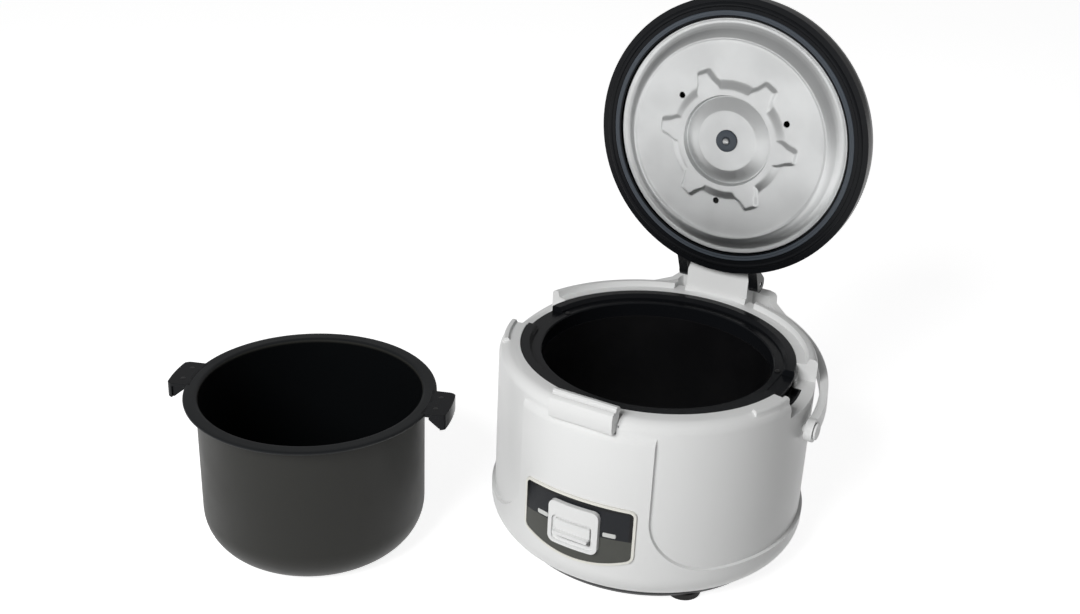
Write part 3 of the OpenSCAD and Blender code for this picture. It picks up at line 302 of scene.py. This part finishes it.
panelLook = {  # places in metres from the cooker's middle and the table
    "upper": (0.008, 0.0095, 0.0125),
    "lower": (0.068, 0.07, 0.062),
    "border": (0.003, 0.003, 0.004),
    "splitHeight": 0.0738,
    "splitBlur": 0.0003,
    "borderSide": (0.0455, 0.0475),
    "borderTop": (0.0985, 0.1005),
    "clouds": 60.0,
    "grain": 1200.0,
    "depth": 0.000004,
    "ior": 1.3,
}
potLook = {
    "outside": (0.022, 0.022, 0.0198),
    "inside": (0.004, 0.0045, 0.005),
    "lip": (0.0085, 0.0095, 0.0105),
    "clouds": 18.0,
    "grain": 1500.0,
    "depth": 0.00001,
    "roughness": 0.46,
    "smoother": 0.14,  # the inside against the outside
    "ior": 1.3,
}
darkSteelLook = {
    "dark": (0.0035, 0.0035, 0.004),
    "light": (0.0055, 0.0055, 0.006),
    "patches": 14.0,
    "grain": 500.0,
    "depth": 0.00002,
    "roughness": 0.38,
}


def moulded(name, look):
    finish = Finish(name)
    wear = mouldedWear
    colour = Vector(look["colour"])
    broad = finish.noise(wear["clouds"], 2.0).ramp(0.3, 0.7)
    tone = finish.mix(broad, colour * (1 + look["shift"]), colour * (1 - look["shift"]))
    speck = finish.noise(look["grain"] * wear["speckGrain"], 2.0).ramp(0.66, 0.74)
    dusty = finish.mix(speck * wear["speckShare"], tone, colour * wear["speckTone"])
    rough = look["roughness"] * (0.92 + 0.16 * finish.noise(wear["patches"], 3.0))
    grain = finish.noise(look["grain"], 2.0)
    finish.set(colour=dusty, roughness=rough, normal=finish.bump(grain, look["depth"]))
    return finish.set(coat=look["coat"], coatRoughness=0.15, ior=look["ior"])


def rolled(name, look):  # sheet and wire metal with fine drawn lines
    finish = Finish(name)
    colour = Vector(look["colour"])
    lines = finish.noise(drawnLines["scale"], 3.0, 0.6, finish.place(stretch=look["stretch"]))
    cloud = finish.noise(drawnLines["clouds"], 3.0).ramp(0.35, 0.75)
    tone = finish.mix(cloud, colour * drawnLines["light"], colour * drawnLines["dull"])
    rough = look["roughness"] + 0.14 * (lines - 0.5) + 0.05 * cloud
    return finish.set(colour=tone, metal=1.0, roughness=rough, normal=finish.bump(lines, look["depth"]))


def turnedSheet(name, centre, turn=(0, 0, 0)):  # aluminium with fine rings about an axis
    finish = Finish(name)
    colour = Vector(sheetLook["colour"])
    where = finish.place(shift=centre, turn=turn)
    across = finish.axis(where, 0)
    along = finish.axis(where, 1)
    radius = (across * across + along * along) ** 0.5
    sockets = {"W": radius, "Scale": sheetLook["lines"], "Detail": 2.0}
    rings = finish.add("ShaderNodeTexNoise", {"noise_dimensions": "1D"}, sockets)
    cloud = finish.noise(sheetLook["clouds"], 3.0).ramp(0.3, 0.75)
    grain = finish.noise(sheetLook["grain"], 2.0)
    tone = finish.mix(cloud, colour * 1.03, colour * 0.95)
    rough = sheetLook["roughness"] + 0.1 * (rings - 0.5) + 0.04 * cloud + 0.05 * (grain - 0.5)
    bumps = finish.bump(rings * 0.5 + grain, sheetLook["depth"])
    return finish.set(colour=tone, metal=1.0, roughness=rough, normal=bumps)


def darkSteel():
    look = darkSteelLook
    finish = Finish("dark_steel")
    patch = finish.noise(look["patches"], 4.0).ramp(0.35, 0.7)
    tone = finish.mix(patch, look["dark"], look["light"])
    grain = finish.noise(look["grain"], 2.0)
    rough = look["roughness"] + 0.1 * patch
    return finish.set(colour=tone, roughness=rough, normal=finish.bump(grain, look["depth"]))


def panelPrint():  # two printed fields on a glossy panel, with a black line round the upper one
    look = panelLook
    finish = Finish("panel_plastic")
    where = finish.place(shift=cookerAt)
    height = finish.axis(where, 2)
    side = finish.axis(where, 0)
    split = look["splitHeight"]
    low = height.ramp(split - look["splitBlur"], split + look["splitBlur"], 1.0, 0.0)
    edge = (side * side) ** 0.5
    border = edge.ramp(*look["borderSide"]) + height.ramp(*look["borderTop"])
    cloud = finish.noise(look["clouds"], 2.0)
    lower = finish.mix(cloud, Vector(look["lower"]) * 0.93, Vector(look["lower"]) * 1.07)
    upper = finish.mix(cloud, Vector(look["upper"]) * 0.9, Vector(look["upper"]) * 1.1)
    upper = finish.mix(border.ramp(0.0, 1.0), upper, look["border"])
    grain = finish.noise(look["grain"], 2.0)
    finish.set(colour=finish.mix(low, upper, lower), roughness=0.2 + 0.08 * grain)
    return finish.set(normal=finish.bump(grain, look["depth"]), ior=look["ior"])


def potCoat():  # satin outside, black non-stick inside, told apart by the piece's own values
    look = potLook
    finish = Finish("pot_coating")
    inside = finish.add("ShaderNodeAttribute", {"attribute_name": "inside"}, output=2)
    lip = finish.add("ShaderNodeAttribute", {"attribute_name": "lip"}, output=2)
    cloud = finish.noise(look["clouds"], 3.0).ramp(0.3, 0.7)
    grain = finish.noise(look["grain"], 2.0)
    fleck = grain.ramp(0.6, 0.72)
    outer = finish.mix(cloud, Vector(look["outside"]) * 0.97, Vector(look["outside"]) * 1.04)
    outer = finish.mix(fleck * 0.25, outer, Vector(look["outside"]) * 1.8)
    inner = finish.mix(fleck * 0.3, look["inside"], Vector(look["inside"]) * 2.2)
    tone = finish.mix(inside, outer, inner)
    tone = finish.mix(lip, tone, look["lip"])
    rough = look["roughness"] - look["smoother"] * inside + 0.08 * (cloud - 0.5)
    bumps = finish.bump(grain, look["depth"])
    return finish.set(colour=tone, roughness=rough, normal=bumps, ior=look["ior"])


finishes = {name: moulded(name, look) for name, look in plasticLooks.items()}
finishes.update({name: rolled(name, look) for name, look in metalLooks.items()})
finishes["aluminium"] = turnedSheet("aluminium", cookerAt)
finishes["dark_steel"] = darkSteel()
finishes["panel_plastic"] = panelPrint()
finishes["pot_coating"] = potCoat()
slots = {part["node"]: part["material_slot"] for part in frame["record"]["subparts"]}
bodies = frame["record"]["behaviour"]["bodies"]
bodyOf = {node: body for body, members in bodies.items() for node in members}
for name, node in nodes.items():
    node.data.materials.clear()
    node.data.materials.append(finishes[slots[name]])
print("finishes made:", len(finishes))


# Making pieces

hingeAt = Vector((0.0, 0.1373, 0.2022))  # from the cooker's middle
lidTilt = math.radians(-91)
potShift = Vector((-0.245, -0.1725, 0.0))
potTurn = math.radians(20)
cookerPlace = Matrix.Translation(cookerAt)
lidSwing = Matrix.Translation(hingeAt) @ Matrix.Rotation(lidTilt, 4, "X") @ Matrix.Translation(-hingeAt)
lidPlace = cookerPlace @ lidSwing  # lid pieces are made closed and then swung open
potPlace = Matrix.Translation(cookerAt + potShift) @ Matrix.Rotation(potTurn, 4, "Z")


def settle(name, mesh, finish, standsFor):  # a finished piece, riding where its CAD parts ride
    piece = newObject(name, mesh)
    mesh.materials.clear()
    mesh.materials.append(finish)
    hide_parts(*standsFor)
    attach(piece, bodyOf[standsFor[0]])
    return piece


def applied(piece):  # the piece's mesh with its modifiers worked in
    graph = bpy.context.evaluated_depsgraph_get()
    mesh = bpy.data.meshes.new_from_object(piece.evaluated_get(graph))
    old = piece.data
    bpy.data.objects.remove(piece)
    bpy.data.meshes.remove(old)
    return mesh


skirtSizes = {  # mm from the pot's middle: across the ear, and outline along it and up
    "across": (16.4, 19.2),
    "outline": [(108.7, 142.6), (121.6, 142.6), (121.6, 131.4), (117.5, 131.4), (108.7, 138.8)],
}


def addSkirts(work):  # the turned-down sides of the pot's ears
    for side, hand in ((-1, -1), (-1, 1), (1, -1), (1, 1)):
        rows = []
        for y in skirtSizes["across"]:
            spots = [Vector((side * x, hand * y, z)) * millimetre for x, z in skirtSizes["outline"]]
            rows.append([work.verts.new(potPlace @ spot) for spot in spots])
        inner, outer = rows
        made = [work.faces.new(inner), work.faces.new(outer)]
        for i in range(len(inner)):
            j = (i + 1) % len(inner)
            made.append(work.faces.new((inner[i], inner[j], outer[j], outer[i])))
        bmesh.ops.recalc_face_normals(work, faces=made)


mergeWithin = 0.000002  # metres, of the CAD parts' loose corners
seamWithin = 0.000001  # metres, along a turned piece's middle
flatWithin = math.radians(1.0)


def softened(node, radius, angle):  # a CAD part with its edges rounded, radius in mm and angle in degrees
    mesh = nodes[node].data.copy()
    work = bmesh.new()
    work.from_mesh(mesh)
    bmesh.ops.remove_doubles(work, verts=work.verts, dist=mergeWithin)
    bmesh.ops.dissolve_limit(work, angle_limit=flatWithin, verts=work.verts, edges=work.edges)
    if node == "pot_ears":
        addSkirts(work)
    work.to_mesh(mesh)
    work.free()
    if "custom_normal" in mesh.attributes:
        mesh.attributes.remove(mesh.attributes["custom_normal"])
    for face in mesh.polygons:
        face.use_smooth = True
    piece = newObject(node + "_work", mesh)
    bevel = piece.modifiers.new("soft", "BEVEL")
    bevel.width = radius * millimetre
    bevel.segments = 2
    bevel.limit_method = "ANGLE"
    bevel.angle_limit = math.radians(angle)
    bevel.use_clamp_overlap = True
    bevel.harden_normals = True
    bevel.miter_outer = "MITER_ARC"
    made = applied(piece)
    made.name = node + "_soft"
    return settle(node + "_soft", made, finishes[slots[node]], (node,))


def lathe(profile, steps, place, closed=False):  # a turned mesh from (radius, height) points in mm
    points = np.array(profile, dtype=float) * millimetre
    count = len(points)
    turns = np.linspace(0, 2 * math.pi, steps, endpoint=False)
    ring = np.stack([np.cos(turns), np.sin(turns)], axis=1)
    corners = np.empty((steps, count, 3))
    corners[:, :, 0] = ring[:, :1] * points[:, 0]
    corners[:, :, 1] = ring[:, 1:] * points[:, 0]
    corners[:, :, 2] = points[:, 1]
    faces = []
    last = count if closed else count - 1
    for i in range(steps):
        j = (i + 1) % steps
        for k in range(last):
            m = (k + 1) % count
            faces.append((i * count + k, j * count + k, j * count + m, i * count + m))
    mesh = bpy.data.meshes.new("turned")
    mesh.from_pydata(corners.reshape(-1, 3).tolist(), [], faces)
    work = bmesh.new()
    work.from_mesh(mesh)
    bmesh.ops.remove_doubles(work, verts=work.verts, dist=seamWithin)
    bmesh.ops.recalc_face_normals(work, faces=work.faces)
    for face in work.faces:
        face.smooth = True
    work.to_mesh(mesh)
    work.free()
    mesh.transform(place)
    return mesh


def arc(centre, radius, start, end, count):  # points of an arc in mm, angles in degrees
    angles = np.radians(np.linspace(start, end, count))
    return [(centre[0] + radius * math.cos(a), centre[1] + radius * math.sin(a)) for a in angles]


# Edges of the moulded parts

edgeRounds = {  # mm
    "outer_casing": 1.2,
    "top_ring": 0.9,
    "fascia": 0.5,
    "fascia_trim": 0.6,
    "bezel": 1.3,
    "cook_lever": 0.8,
    "lamp_lenses": 0.3,
    "latch_button": 1.2,
    "carry_handle": 1.6,
    "pivot_screws": 0.4,
    "lid_cover": 0.8,
    "lid_frame": 0.7,
    "steam_cap": 0.6,
    "base_cover": 0.8,
    "base_feet": 1.2,
    "power_inlet": 0.6,
    "pot_ears": 1.3,
    "lid_catch": 0.3,
    "heating_plate": 0.6,
    "inner_liner": 0.3,
}
sharpFrom = {"outer_casing": 50}  # degrees from which an edge is rounded, otherwise 32
for name, radius in edgeRounds.items():
    piece = softened(name, radius, sharpFrom.get(name, 32))
    print("softened", name, len(piece.data.polygons), "faces")


# Pot

potSizes = {  # mm
    "radius": 97.5,
    "height": 145.0,
    "round": 38.0,  # from wall to bottom
    "wall": 2.0,
    "rimRadius": 108.0,
    "rimThick": 3.0,
    "neck": 1.2,  # fillet under the rim
    "mouth": 3.0,  # fillet from rim to inside
    "straight": (60.0, 50.0),  # down from the top to a row of points, outside and inside
    "steps": 160,
}


def makePot():
    s = potSizes
    top = s["height"]
    under = top - s["rimThick"]
    inner = s["radius"] - s["wall"]
    flat = s["radius"] - s["round"]
    edge = s["rimThick"] / 2
    outside = [(0.0, 0.0), (flat * 0.5, 0.0), (flat, 0.0)]
    outside += arc((flat, s["round"]), s["round"], -86, 0, 14)
    outside += [(s["radius"], top - s["straight"][0]), (s["radius"], under - 1.5)]
    outside += arc((s["radius"] + s["neck"], under - s["neck"]), s["neck"], 170, 90, 4)
    lip = [(s["rimRadius"] - 3.0, under)]
    lip += arc((s["rimRadius"] - edge, top - edge), edge, -90, 90, 7)
    lip += [(s["rimRadius"] - 4.0, top), (inner + s["mouth"] + 1.0, top)]
    lip += arc((inner + s["mouth"], top - s["mouth"]), s["mouth"], 90, 170, 6)
    inside = [(inner, top - s["mouth"] - 1.0), (inner, top - s["straight"][1])]
    inside += arc((flat, s["round"]), s["round"] - s["wall"], 0, -86, 14)
    inside += [(flat, s["wall"]), (flat * 0.5, s["wall"]), (0.0, s["wall"])]
    mesh = lathe(outside + lip + inside, s["steps"], Matrix())
    within = mesh.attributes.new("inside", "FLOAT", "POINT")
    upper = mesh.attributes.new("lip", "FLOAT", "POINT")
    insideSpots = {(round(r, 2), round(z, 2)) for r, z in inside}
    for index, vertex in enumerate(mesh.vertices):
        r = math.hypot(vertex.co.x, vertex.co.y) / millimetre
        z = vertex.co.z / millimetre
        within.data[index].value = float((round(r, 2), round(z, 2)) in insideSpots)
        upper.data[index].value = float(z > under - 0.1 and r > inner + 0.4)
    mesh.transform(potPlace)
    return settle("pot_shell", mesh, finishes["pot_coating"], ("inner_pot",))


makePot()
print("pot made")


# Lid plate

plateSizes = {  # mm, heights on the closed lid
    "field": 180.5,
    "thick": 1.0,
    "edgeRadius": 106.9,
    "edgeDrop": 7.5,
    "bead": 1.1,
    "steps": 360,
}
holeSizes = {  # three steam holes, mm and degrees
    "radius": 2.8,
    "away": 58.0,
    "at": (95, 215, 335),
    "height": 180.0,
    "depth": 30.0,
}
gearSizes = {  # mm, and degrees for the first tooth
    "teeth": 6,
    "first": 3.0,
    "height": 3.4,
    "tip": 66.0,
    "tipHalf": 3.4,
    "baseHalf": 10.0,
    "slope": 3.2,
    "root": (46.0, 55.0),
    "inner": (40.0, 41.3),
    "waist": (40.0, 50.0, 56.0),  # radii where a tooth's width changes, before its tip
}
plateRelief = {  # radii and their heights towards the pot
    "rim": ([0, 92.5, 94, 98.5, 100.5, 103, 107, 110], [0, 0, -0.9, -5.4, -6.6, -7.3, -7.1, -7.0]),
    "middle": ([0, 27.2, 28.4, 39.2, 40.2, 41.2], [2.0, 2.0, 1.7, -1.5, -1.5, 0.0]),
    "rib": (91.2, 1.3, 0.7),  # radius, half width and height
}
plateRows = [  # rings of points from the grommet's hole out: first and last radius, number
    (6.0, 26.5, 10),
    (27.0, 28.6, 4),
    (30.0, 38.6, 7),
    (39.2, 41.6, 8),
    (42.3, 69.0, 38),
    (72.0, 88.5, 7),
    (89.2, 104.5, 24),
]


def step(value, low, high):  # 0 below low, 1 above high, smooth between
    t = np.clip((value - low) / (high - low), 0.0, 1.0)
    return t * t * (3 - 2 * t)


def plateHeight(r, a):  # mm towards the pot, from radius in mm and angle in radians
    g = gearSizes
    ribRadius, ribHalf, ribHeight = plateRelief["rib"]
    rim = np.interp(r, *plateRelief["rim"])
    rib = ribHeight * np.exp(-(((r - ribRadius) / ribHalf) ** 2))
    root = 1 - step(r, *g["root"])
    pitch = 2 * math.pi / g["teeth"]
    turn = (a - math.radians(g["first"]) + pitch / 2) % pitch - pitch / 2
    along = r * np.cos(turn)
    across = np.abs(r * np.sin(turn))
    halves = [g["baseHalf"] + 2, g["baseHalf"], g["tipHalf"] + g["slope"], g["tipHalf"]]
    half = np.interp(along, [*g["waist"], g["tip"]], halves)
    side = 1 - step(across, half, half + g["slope"])
    tooth = side * (1 - step(along, g["tip"] - g["slope"], g["tip"]))
    gear = g["height"] * np.maximum(root, tooth) * step(r, *g["inner"])
    return rim + rib + gear + np.interp(r, *plateRelief["middle"])


def makePlate():
    s = plateSizes
    radii = np.concatenate([np.linspace(*row) for row in plateRows])
    steps = s["steps"]
    angles = np.linspace(0, 2 * math.pi, steps, endpoint=False)
    grid, turn = np.meshgrid(radii, angles)
    front = s["field"] - plateHeight(grid, turn)
    edge = np.array(arc((s["edgeRadius"], s["field"] + s["edgeDrop"]), s["bead"], 225, 495, 11))
    rings = [np.stack([grid, front], axis=2), np.broadcast_to(edge, (steps, *edge.shape))]
    back = np.stack([grid, front + s["thick"]], axis=2)[:, ::-2]
    rings = np.concatenate([*rings, back], axis=1) * millimetre
    count = rings.shape[1]
    corners = np.empty((steps, count, 3))
    corners[:, :, 0] = rings[:, :, 0] * np.cos(angles)[:, None]
    corners[:, :, 1] = rings[:, :, 0] * np.sin(angles)[:, None]
    corners[:, :, 2] = rings[:, :, 1]
    i, k = np.meshgrid(np.arange(steps), np.arange(count), indexing="ij")
    j = (i + 1) % steps
    m = (k + 1) % count
    faces = np.stack([i * count + k, j * count + k, j * count + m, i * count + m], axis=2).reshape(-1, 4)
    mesh = bpy.data.meshes.new("lid_plate_sheet")
    mesh.from_pydata(corners.reshape(-1, 3).tolist(), [], faces.tolist())
    work = bmesh.new()
    work.from_mesh(mesh)
    bmesh.ops.recalc_face_normals(work, faces=work.faces)
    for face in work.faces:
        face.smooth = True
    work.to_mesh(mesh)
    work.free()
    sheet = newObject("sheet_work", mesh)
    punch = newObject("punch_work", steamPunch())
    cut = sheet.modifiers.new("steam holes", "BOOLEAN")
    cut.operation = "DIFFERENCE"
    cut.object = punch
    made = applied(sheet)
    bpy.data.objects.remove(punch)
    made.transform(lidPlace)
    return settle("lid_plate_sheet", made, finishes["lid_sheet"], ("inner_plate",))


def steamPunch():  # round cutters, joined
    work = bmesh.new()
    h = holeSizes
    size = h["radius"] * millimetre
    shape = {"radius1": size, "radius2": size, "depth": h["depth"] * millimetre}
    for a in np.radians(h["at"]):
        spot = Vector((h["away"] * math.cos(a), h["away"] * math.sin(a), h["height"])) * millimetre
        place = Matrix.Translation(spot)
        bmesh.ops.create_cone(work, cap_ends=True, segments=32, matrix=place, **shape)
    mesh = bpy.data.meshes.new("punch")
    work.to_mesh(mesh)
    work.free()
    return mesh


finishes["lid_sheet"] = turnedSheet("lid_sheet", lidPlace.translation, (lidTilt, 0, 0))
makePlate()
print("lid plate made")


# Lid rings, post and grommet

ridgeSizes = {"radius": 119.6, "half": 1.9, "height": 0.9, "base": 184.5, "slope": 0.6, "sunk": 0.4}
turnedLooks = {  # outlines in mm of radius and height on the closed lid
    "lid_gasket": [
        (109.7, 187.1), (109.7, 185.0), (110.2, 184.3), (111.1, 184.1), (111.9, 184.7),
        (112.5, 184.9), (113.2, 184.3), (113.9, 184.4), (114.3, 185.1), (114.3, 187.1),
    ],
    "lid_post": [
        (0.0, 174.4), (1.3, 174.5), (2.2, 174.9), (2.8, 175.7), (3.0, 176.6),
        (3.0, 194.9), (5.9, 195.1), (6.0, 196.4), (0.0, 196.5),
    ],
    "plate_grommet": [
        (3.08, 177.6), (3.5, 177.0), (4.5, 176.7), (8.9, 176.7), (9.8, 177.2), (10.0, 178.4),
        (6.0, 178.5), (6.0, 179.6), (7.9, 179.7), (8.0, 180.7), (7.5, 181.1), (3.08, 181.1),
    ],
}
turnedSteps = {"lid_gasket": 144, "lid_post": 48, "plate_grommet": 144}
lidRingFinishes = {"plate_grommet": "gasket_rubber", "lid_post": "lid_sheet"}


def makeLidRings():
    for node, outline in turnedLooks.items():
        hollow = outline[0][0] > 0
        mesh = lathe(outline, turnedSteps[node], lidPlace, closed=hollow)
        finish = finishes[lidRingFinishes.get(node, slots[node])]
        settle(node + "_turned", mesh, finish, (node,))


def makeRidge():  # round the lid's dark face, on its own
    s = ridgeSizes
    inner = s["radius"] - s["half"]
    outer = s["radius"] + s["half"]
    foot = s["base"] + 0.2
    side = s["base"] - 0.3
    low = s["base"] - s["height"]
    outline = [(inner - s["sunk"], foot), (inner, side), (inner + s["slope"], low)]
    outline += [(outer - s["slope"], low), (outer, side), (outer + s["sunk"], foot)]
    ridge = newObject("lid_ridge", lathe(outline, 160, lidPlace, closed=True))
    ridge.data.materials.append(finishes["black_plastic"])
    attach(ridge, "lid")


makeLidRings()
makeRidge()
print("lid rings made")


# Springs, screws and rivets, made by node trees

springLooks = {  # node: wire radius in mm, turns, axis
    "lever_spring": (0.5, 9, "Z"),
    "thermostat_spring": (0.7, 4, "Z"),
    "hinge_spring": (0.8, 6, "X"),
    "latch_spring": (0.4, 6, "X"),
}
fastenerLooks = {
    # sizes are head radius and height, shank radius and length in mm
    # rings are radius, angles, height and aim in degrees, spots are place and aim
    "base_screws": {"sizes": (4.0, 1.5, 2.0, 14.0), "cross": True, "finish": "steel", "on": "cooker",
                    "rings": [(109.0, (20, 160, 200, 340), 8.6, (0, 0, 0))]},
    "inlet_screws": {"sizes": (3.0, 1.4, 1.5, 4.0), "cross": True, "finish": "steel", "on": "cooker",
                     "spots": [((x, 137.5, 62.0), (90, 0, 0)) for x in (22.5, -22.5)]},
    "lid_screws": {"sizes": (3.5, 1.8, 1.5, 11.0), "cross": True, "finish": "steel", "on": "lid",
                   "rings": [(84.0, (45, 135, 225, 315), 193.0, (0, 0, 0))]},
    "ring_rivets": {"sizes": (2.6, 1.3, 1.5, 6.2), "cross": False, "finish": "dark_steel", "on": "cooker",
                    "rings": [(105.0, (13, 167), 179.7, (180, 0, 0))]},
    "ear_rivets": {"sizes": (2.3, 0.6, 1.5, 4.0), "cross": False, "finish": "dark_steel", "on": "pot",
                   "rings": [(113.0, (-5, 5, 175, 185), 145.4, (180, 0, 0))]},
}
places = {"cooker": cookerPlace, "lid": lidPlace, "pot": potPlace}


class NodeTree:  # a geometry node group with named inputs
    def __init__(self, name, inputs):
        self.tree = bpy.data.node_groups.new(name, "GeometryNodeTree")
        self.tree.interface.new_socket("Geometry", in_out="INPUT", socket_type="NodeSocketGeometry")
        self.inputs = {}
        for label, kind in inputs.items():
            socket = self.tree.interface.new_socket(label, in_out="INPUT", socket_type="NodeSocket" + kind)
            self.inputs[label] = socket.identifier
        self.tree.interface.new_socket("Geometry", in_out="OUTPUT", socket_type="NodeSocketGeometry")
        self.start = self.tree.nodes.new("NodeGroupInput")
        self.end = self.tree.nodes.new("NodeGroupOutput")

    def given(self, label):
        return self.start.outputs[label]

    def add(self, kind, settings=None, sockets=None, output=0):
        made = self.tree.nodes.new(kind)
        for key, value in (settings or {}).items():
            setattr(made, key, value)
        for key, value in (sockets or {}).items():
            if isinstance(value, bpy.types.NodeSocket):
                self.tree.links.new(value, made.inputs[key])
            else:
                made.inputs[key].default_value = value
        return made.outputs[output]

    def close(self, shape):  # real geometry with its finish
        real = self.add("GeometryNodeRealizeInstances", {}, {"Geometry": shape})
        smooth = self.add("GeometryNodeSetShadeSmooth", {}, {"Geometry": real})
        sockets = {"Geometry": smooth, "Material": self.given("Finish")}
        last = self.add("GeometryNodeSetMaterial", {}, sockets)
        self.tree.links.new(last, self.end.inputs[0])

    def run(self, mesh, values):  # the tree's result as a plain mesh
        holder = newObject("holder", mesh)
        modifier = holder.modifiers.new("nodes", "NODES")
        modifier.node_group = self.tree
        for label, value in values.items():
            modifier[self.inputs[label]] = value
        return applied(holder)


def springTree():
    sizes = {label: "Float" for label in ("Radius", "Wire", "Length", "Turns")}
    tree = NodeTree("coil spring", sizes | {"Finish": "Material"})
    radius = tree.given("Radius")
    coil = {"Start Radius": radius, "End Radius": radius, "Height": tree.given("Length")}
    coil |= {"Rotations": tree.given("Turns"), "Resolution": 24}
    path = tree.add("GeometryNodeCurveSpiral", {}, coil)
    section = {"Radius": tree.given("Wire"), "Resolution": 8}
    wire = tree.add("GeometryNodeCurvePrimitiveCircle", {"mode": "RADIUS"}, section)
    swept = {"Curve": path, "Profile Curve": wire, "Fill Caps": True}
    tree.close(tree.add("GeometryNodeCurveToMesh", {}, swept))
    return tree


def fastenerTree():
    tree = NodeTree("fasteners", {"Fastener": "Object", "Size": "Float", "Finish": "Material"})
    shape = tree.add("GeometryNodeObjectInfo", {}, {"Object": tree.given("Fastener")}, output=4)
    aim = tree.add("GeometryNodeInputNamedAttribute", {"data_type": "FLOAT_VECTOR"}, {"Name": "aim"})
    sockets = {"Points": tree.given("Geometry"), "Instance": shape, "Rotation": aim}
    sockets |= {"Scale": tree.given("Size")}
    tree.close(tree.add("GeometryNodeInstanceOnPoints", {}, sockets))
    return tree


domedHead = [(0.0, 0.0), (0.5, 0.08), (0.82, 0.3), (1.0, 0.75), (1.0, 1.0)]  # shares of radius and height
crossArms = ((1.3, 0.28), (0.28, 1.3))  # shares of the head's radius


def fastenerTemplate(sizes, cross):  # its outer face at the origin, its shank along +Z
    head, high, shank, long = sizes
    outline = [(head * r, high * z) for r, z in domedHead]
    outline += [(shank, high), (shank, long), (0.0, long)]
    template = newObject("template", lathe(outline, 28, Matrix()))
    if not cross:
        return template
    work = bmesh.new()
    for wide, deep in crossArms:
        arm = Vector((head * wide, head * deep, high)) * millimetre
        bmesh.ops.create_cube(work, size=1.0, matrix=Matrix.Diagonal((*arm, 1.0)))
    mesh = bpy.data.meshes.new("cross")
    work.to_mesh(mesh)
    work.free()
    cutter = newObject("cutter", mesh)
    cut = template.modifiers.new("recess", "BOOLEAN")
    cut.operation = "DIFFERENCE"
    cut.use_self = True
    cut.object = cutter
    result = newObject("template", applied(template))
    bpy.data.objects.remove(cutter)
    return result


def makeSprings():
    tree = springTree()
    for node, (wire, turns, axis) in springLooks.items():
        wire *= millimetre
        low, high = (Vector(corner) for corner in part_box(node))
        index = "XYZ".index(axis)
        radius = (high - low)[0 if axis == "Z" else 1] / 2 - wire
        length = (high - low)[index] - 2 * wire
        start = (low + high) / 2
        start[index] = low[index] + wire
        turn = Matrix.Rotation(math.radians(90), 4, "Y") if axis == "X" else Matrix()
        values = {"Radius": radius, "Wire": wire, "Length": length, "Turns": float(turns)}
        mesh = tree.run(bpy.data.meshes.new("empty"), values | {"Finish": finishes["steel"]})
        mesh.transform(Matrix.Translation(start) @ turn)
        spring = settle(node + "_coil", mesh, finishes["steel"], (node,))
        if node == "lever_spring":  # given a mesh of its own; its joint moves 5 mm
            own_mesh(spring)
        if node == "thermostat_spring":  # given a mesh of its own too; its joint moves 2.3 mm
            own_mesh(spring)


def makeFasteners():
    tree = fastenerTree()
    for node, look in fastenerLooks.items():
        spots = list(look.get("spots", []))
        for radius, angles, height, aim in look.get("rings", []):
            for a in np.radians(angles):
                spots.append(((radius * math.cos(a), radius * math.sin(a), height), aim))
        mesh = bpy.data.meshes.new("spots")
        mesh.from_pydata([Vector(spot) * millimetre for spot, aim in spots], [], [])
        aims = mesh.attributes.new("aim", "FLOAT_VECTOR", "POINT")
        for index, (spot, aim) in enumerate(spots):
            aims.data[index].vector = [math.radians(a) for a in aim]
        template = fastenerTemplate(look["sizes"], look["cross"])
        finish = finishes[look["finish"]]
        made = tree.run(mesh, {"Fastener": template, "Size": 1.0, "Finish": finish})
        bpy.data.objects.remove(template)
        made.transform(places[look["on"]])
        settle(node + "_set", made, finish, (node,))


makeSprings()
makeFasteners()
print("springs, screws and rivets made")
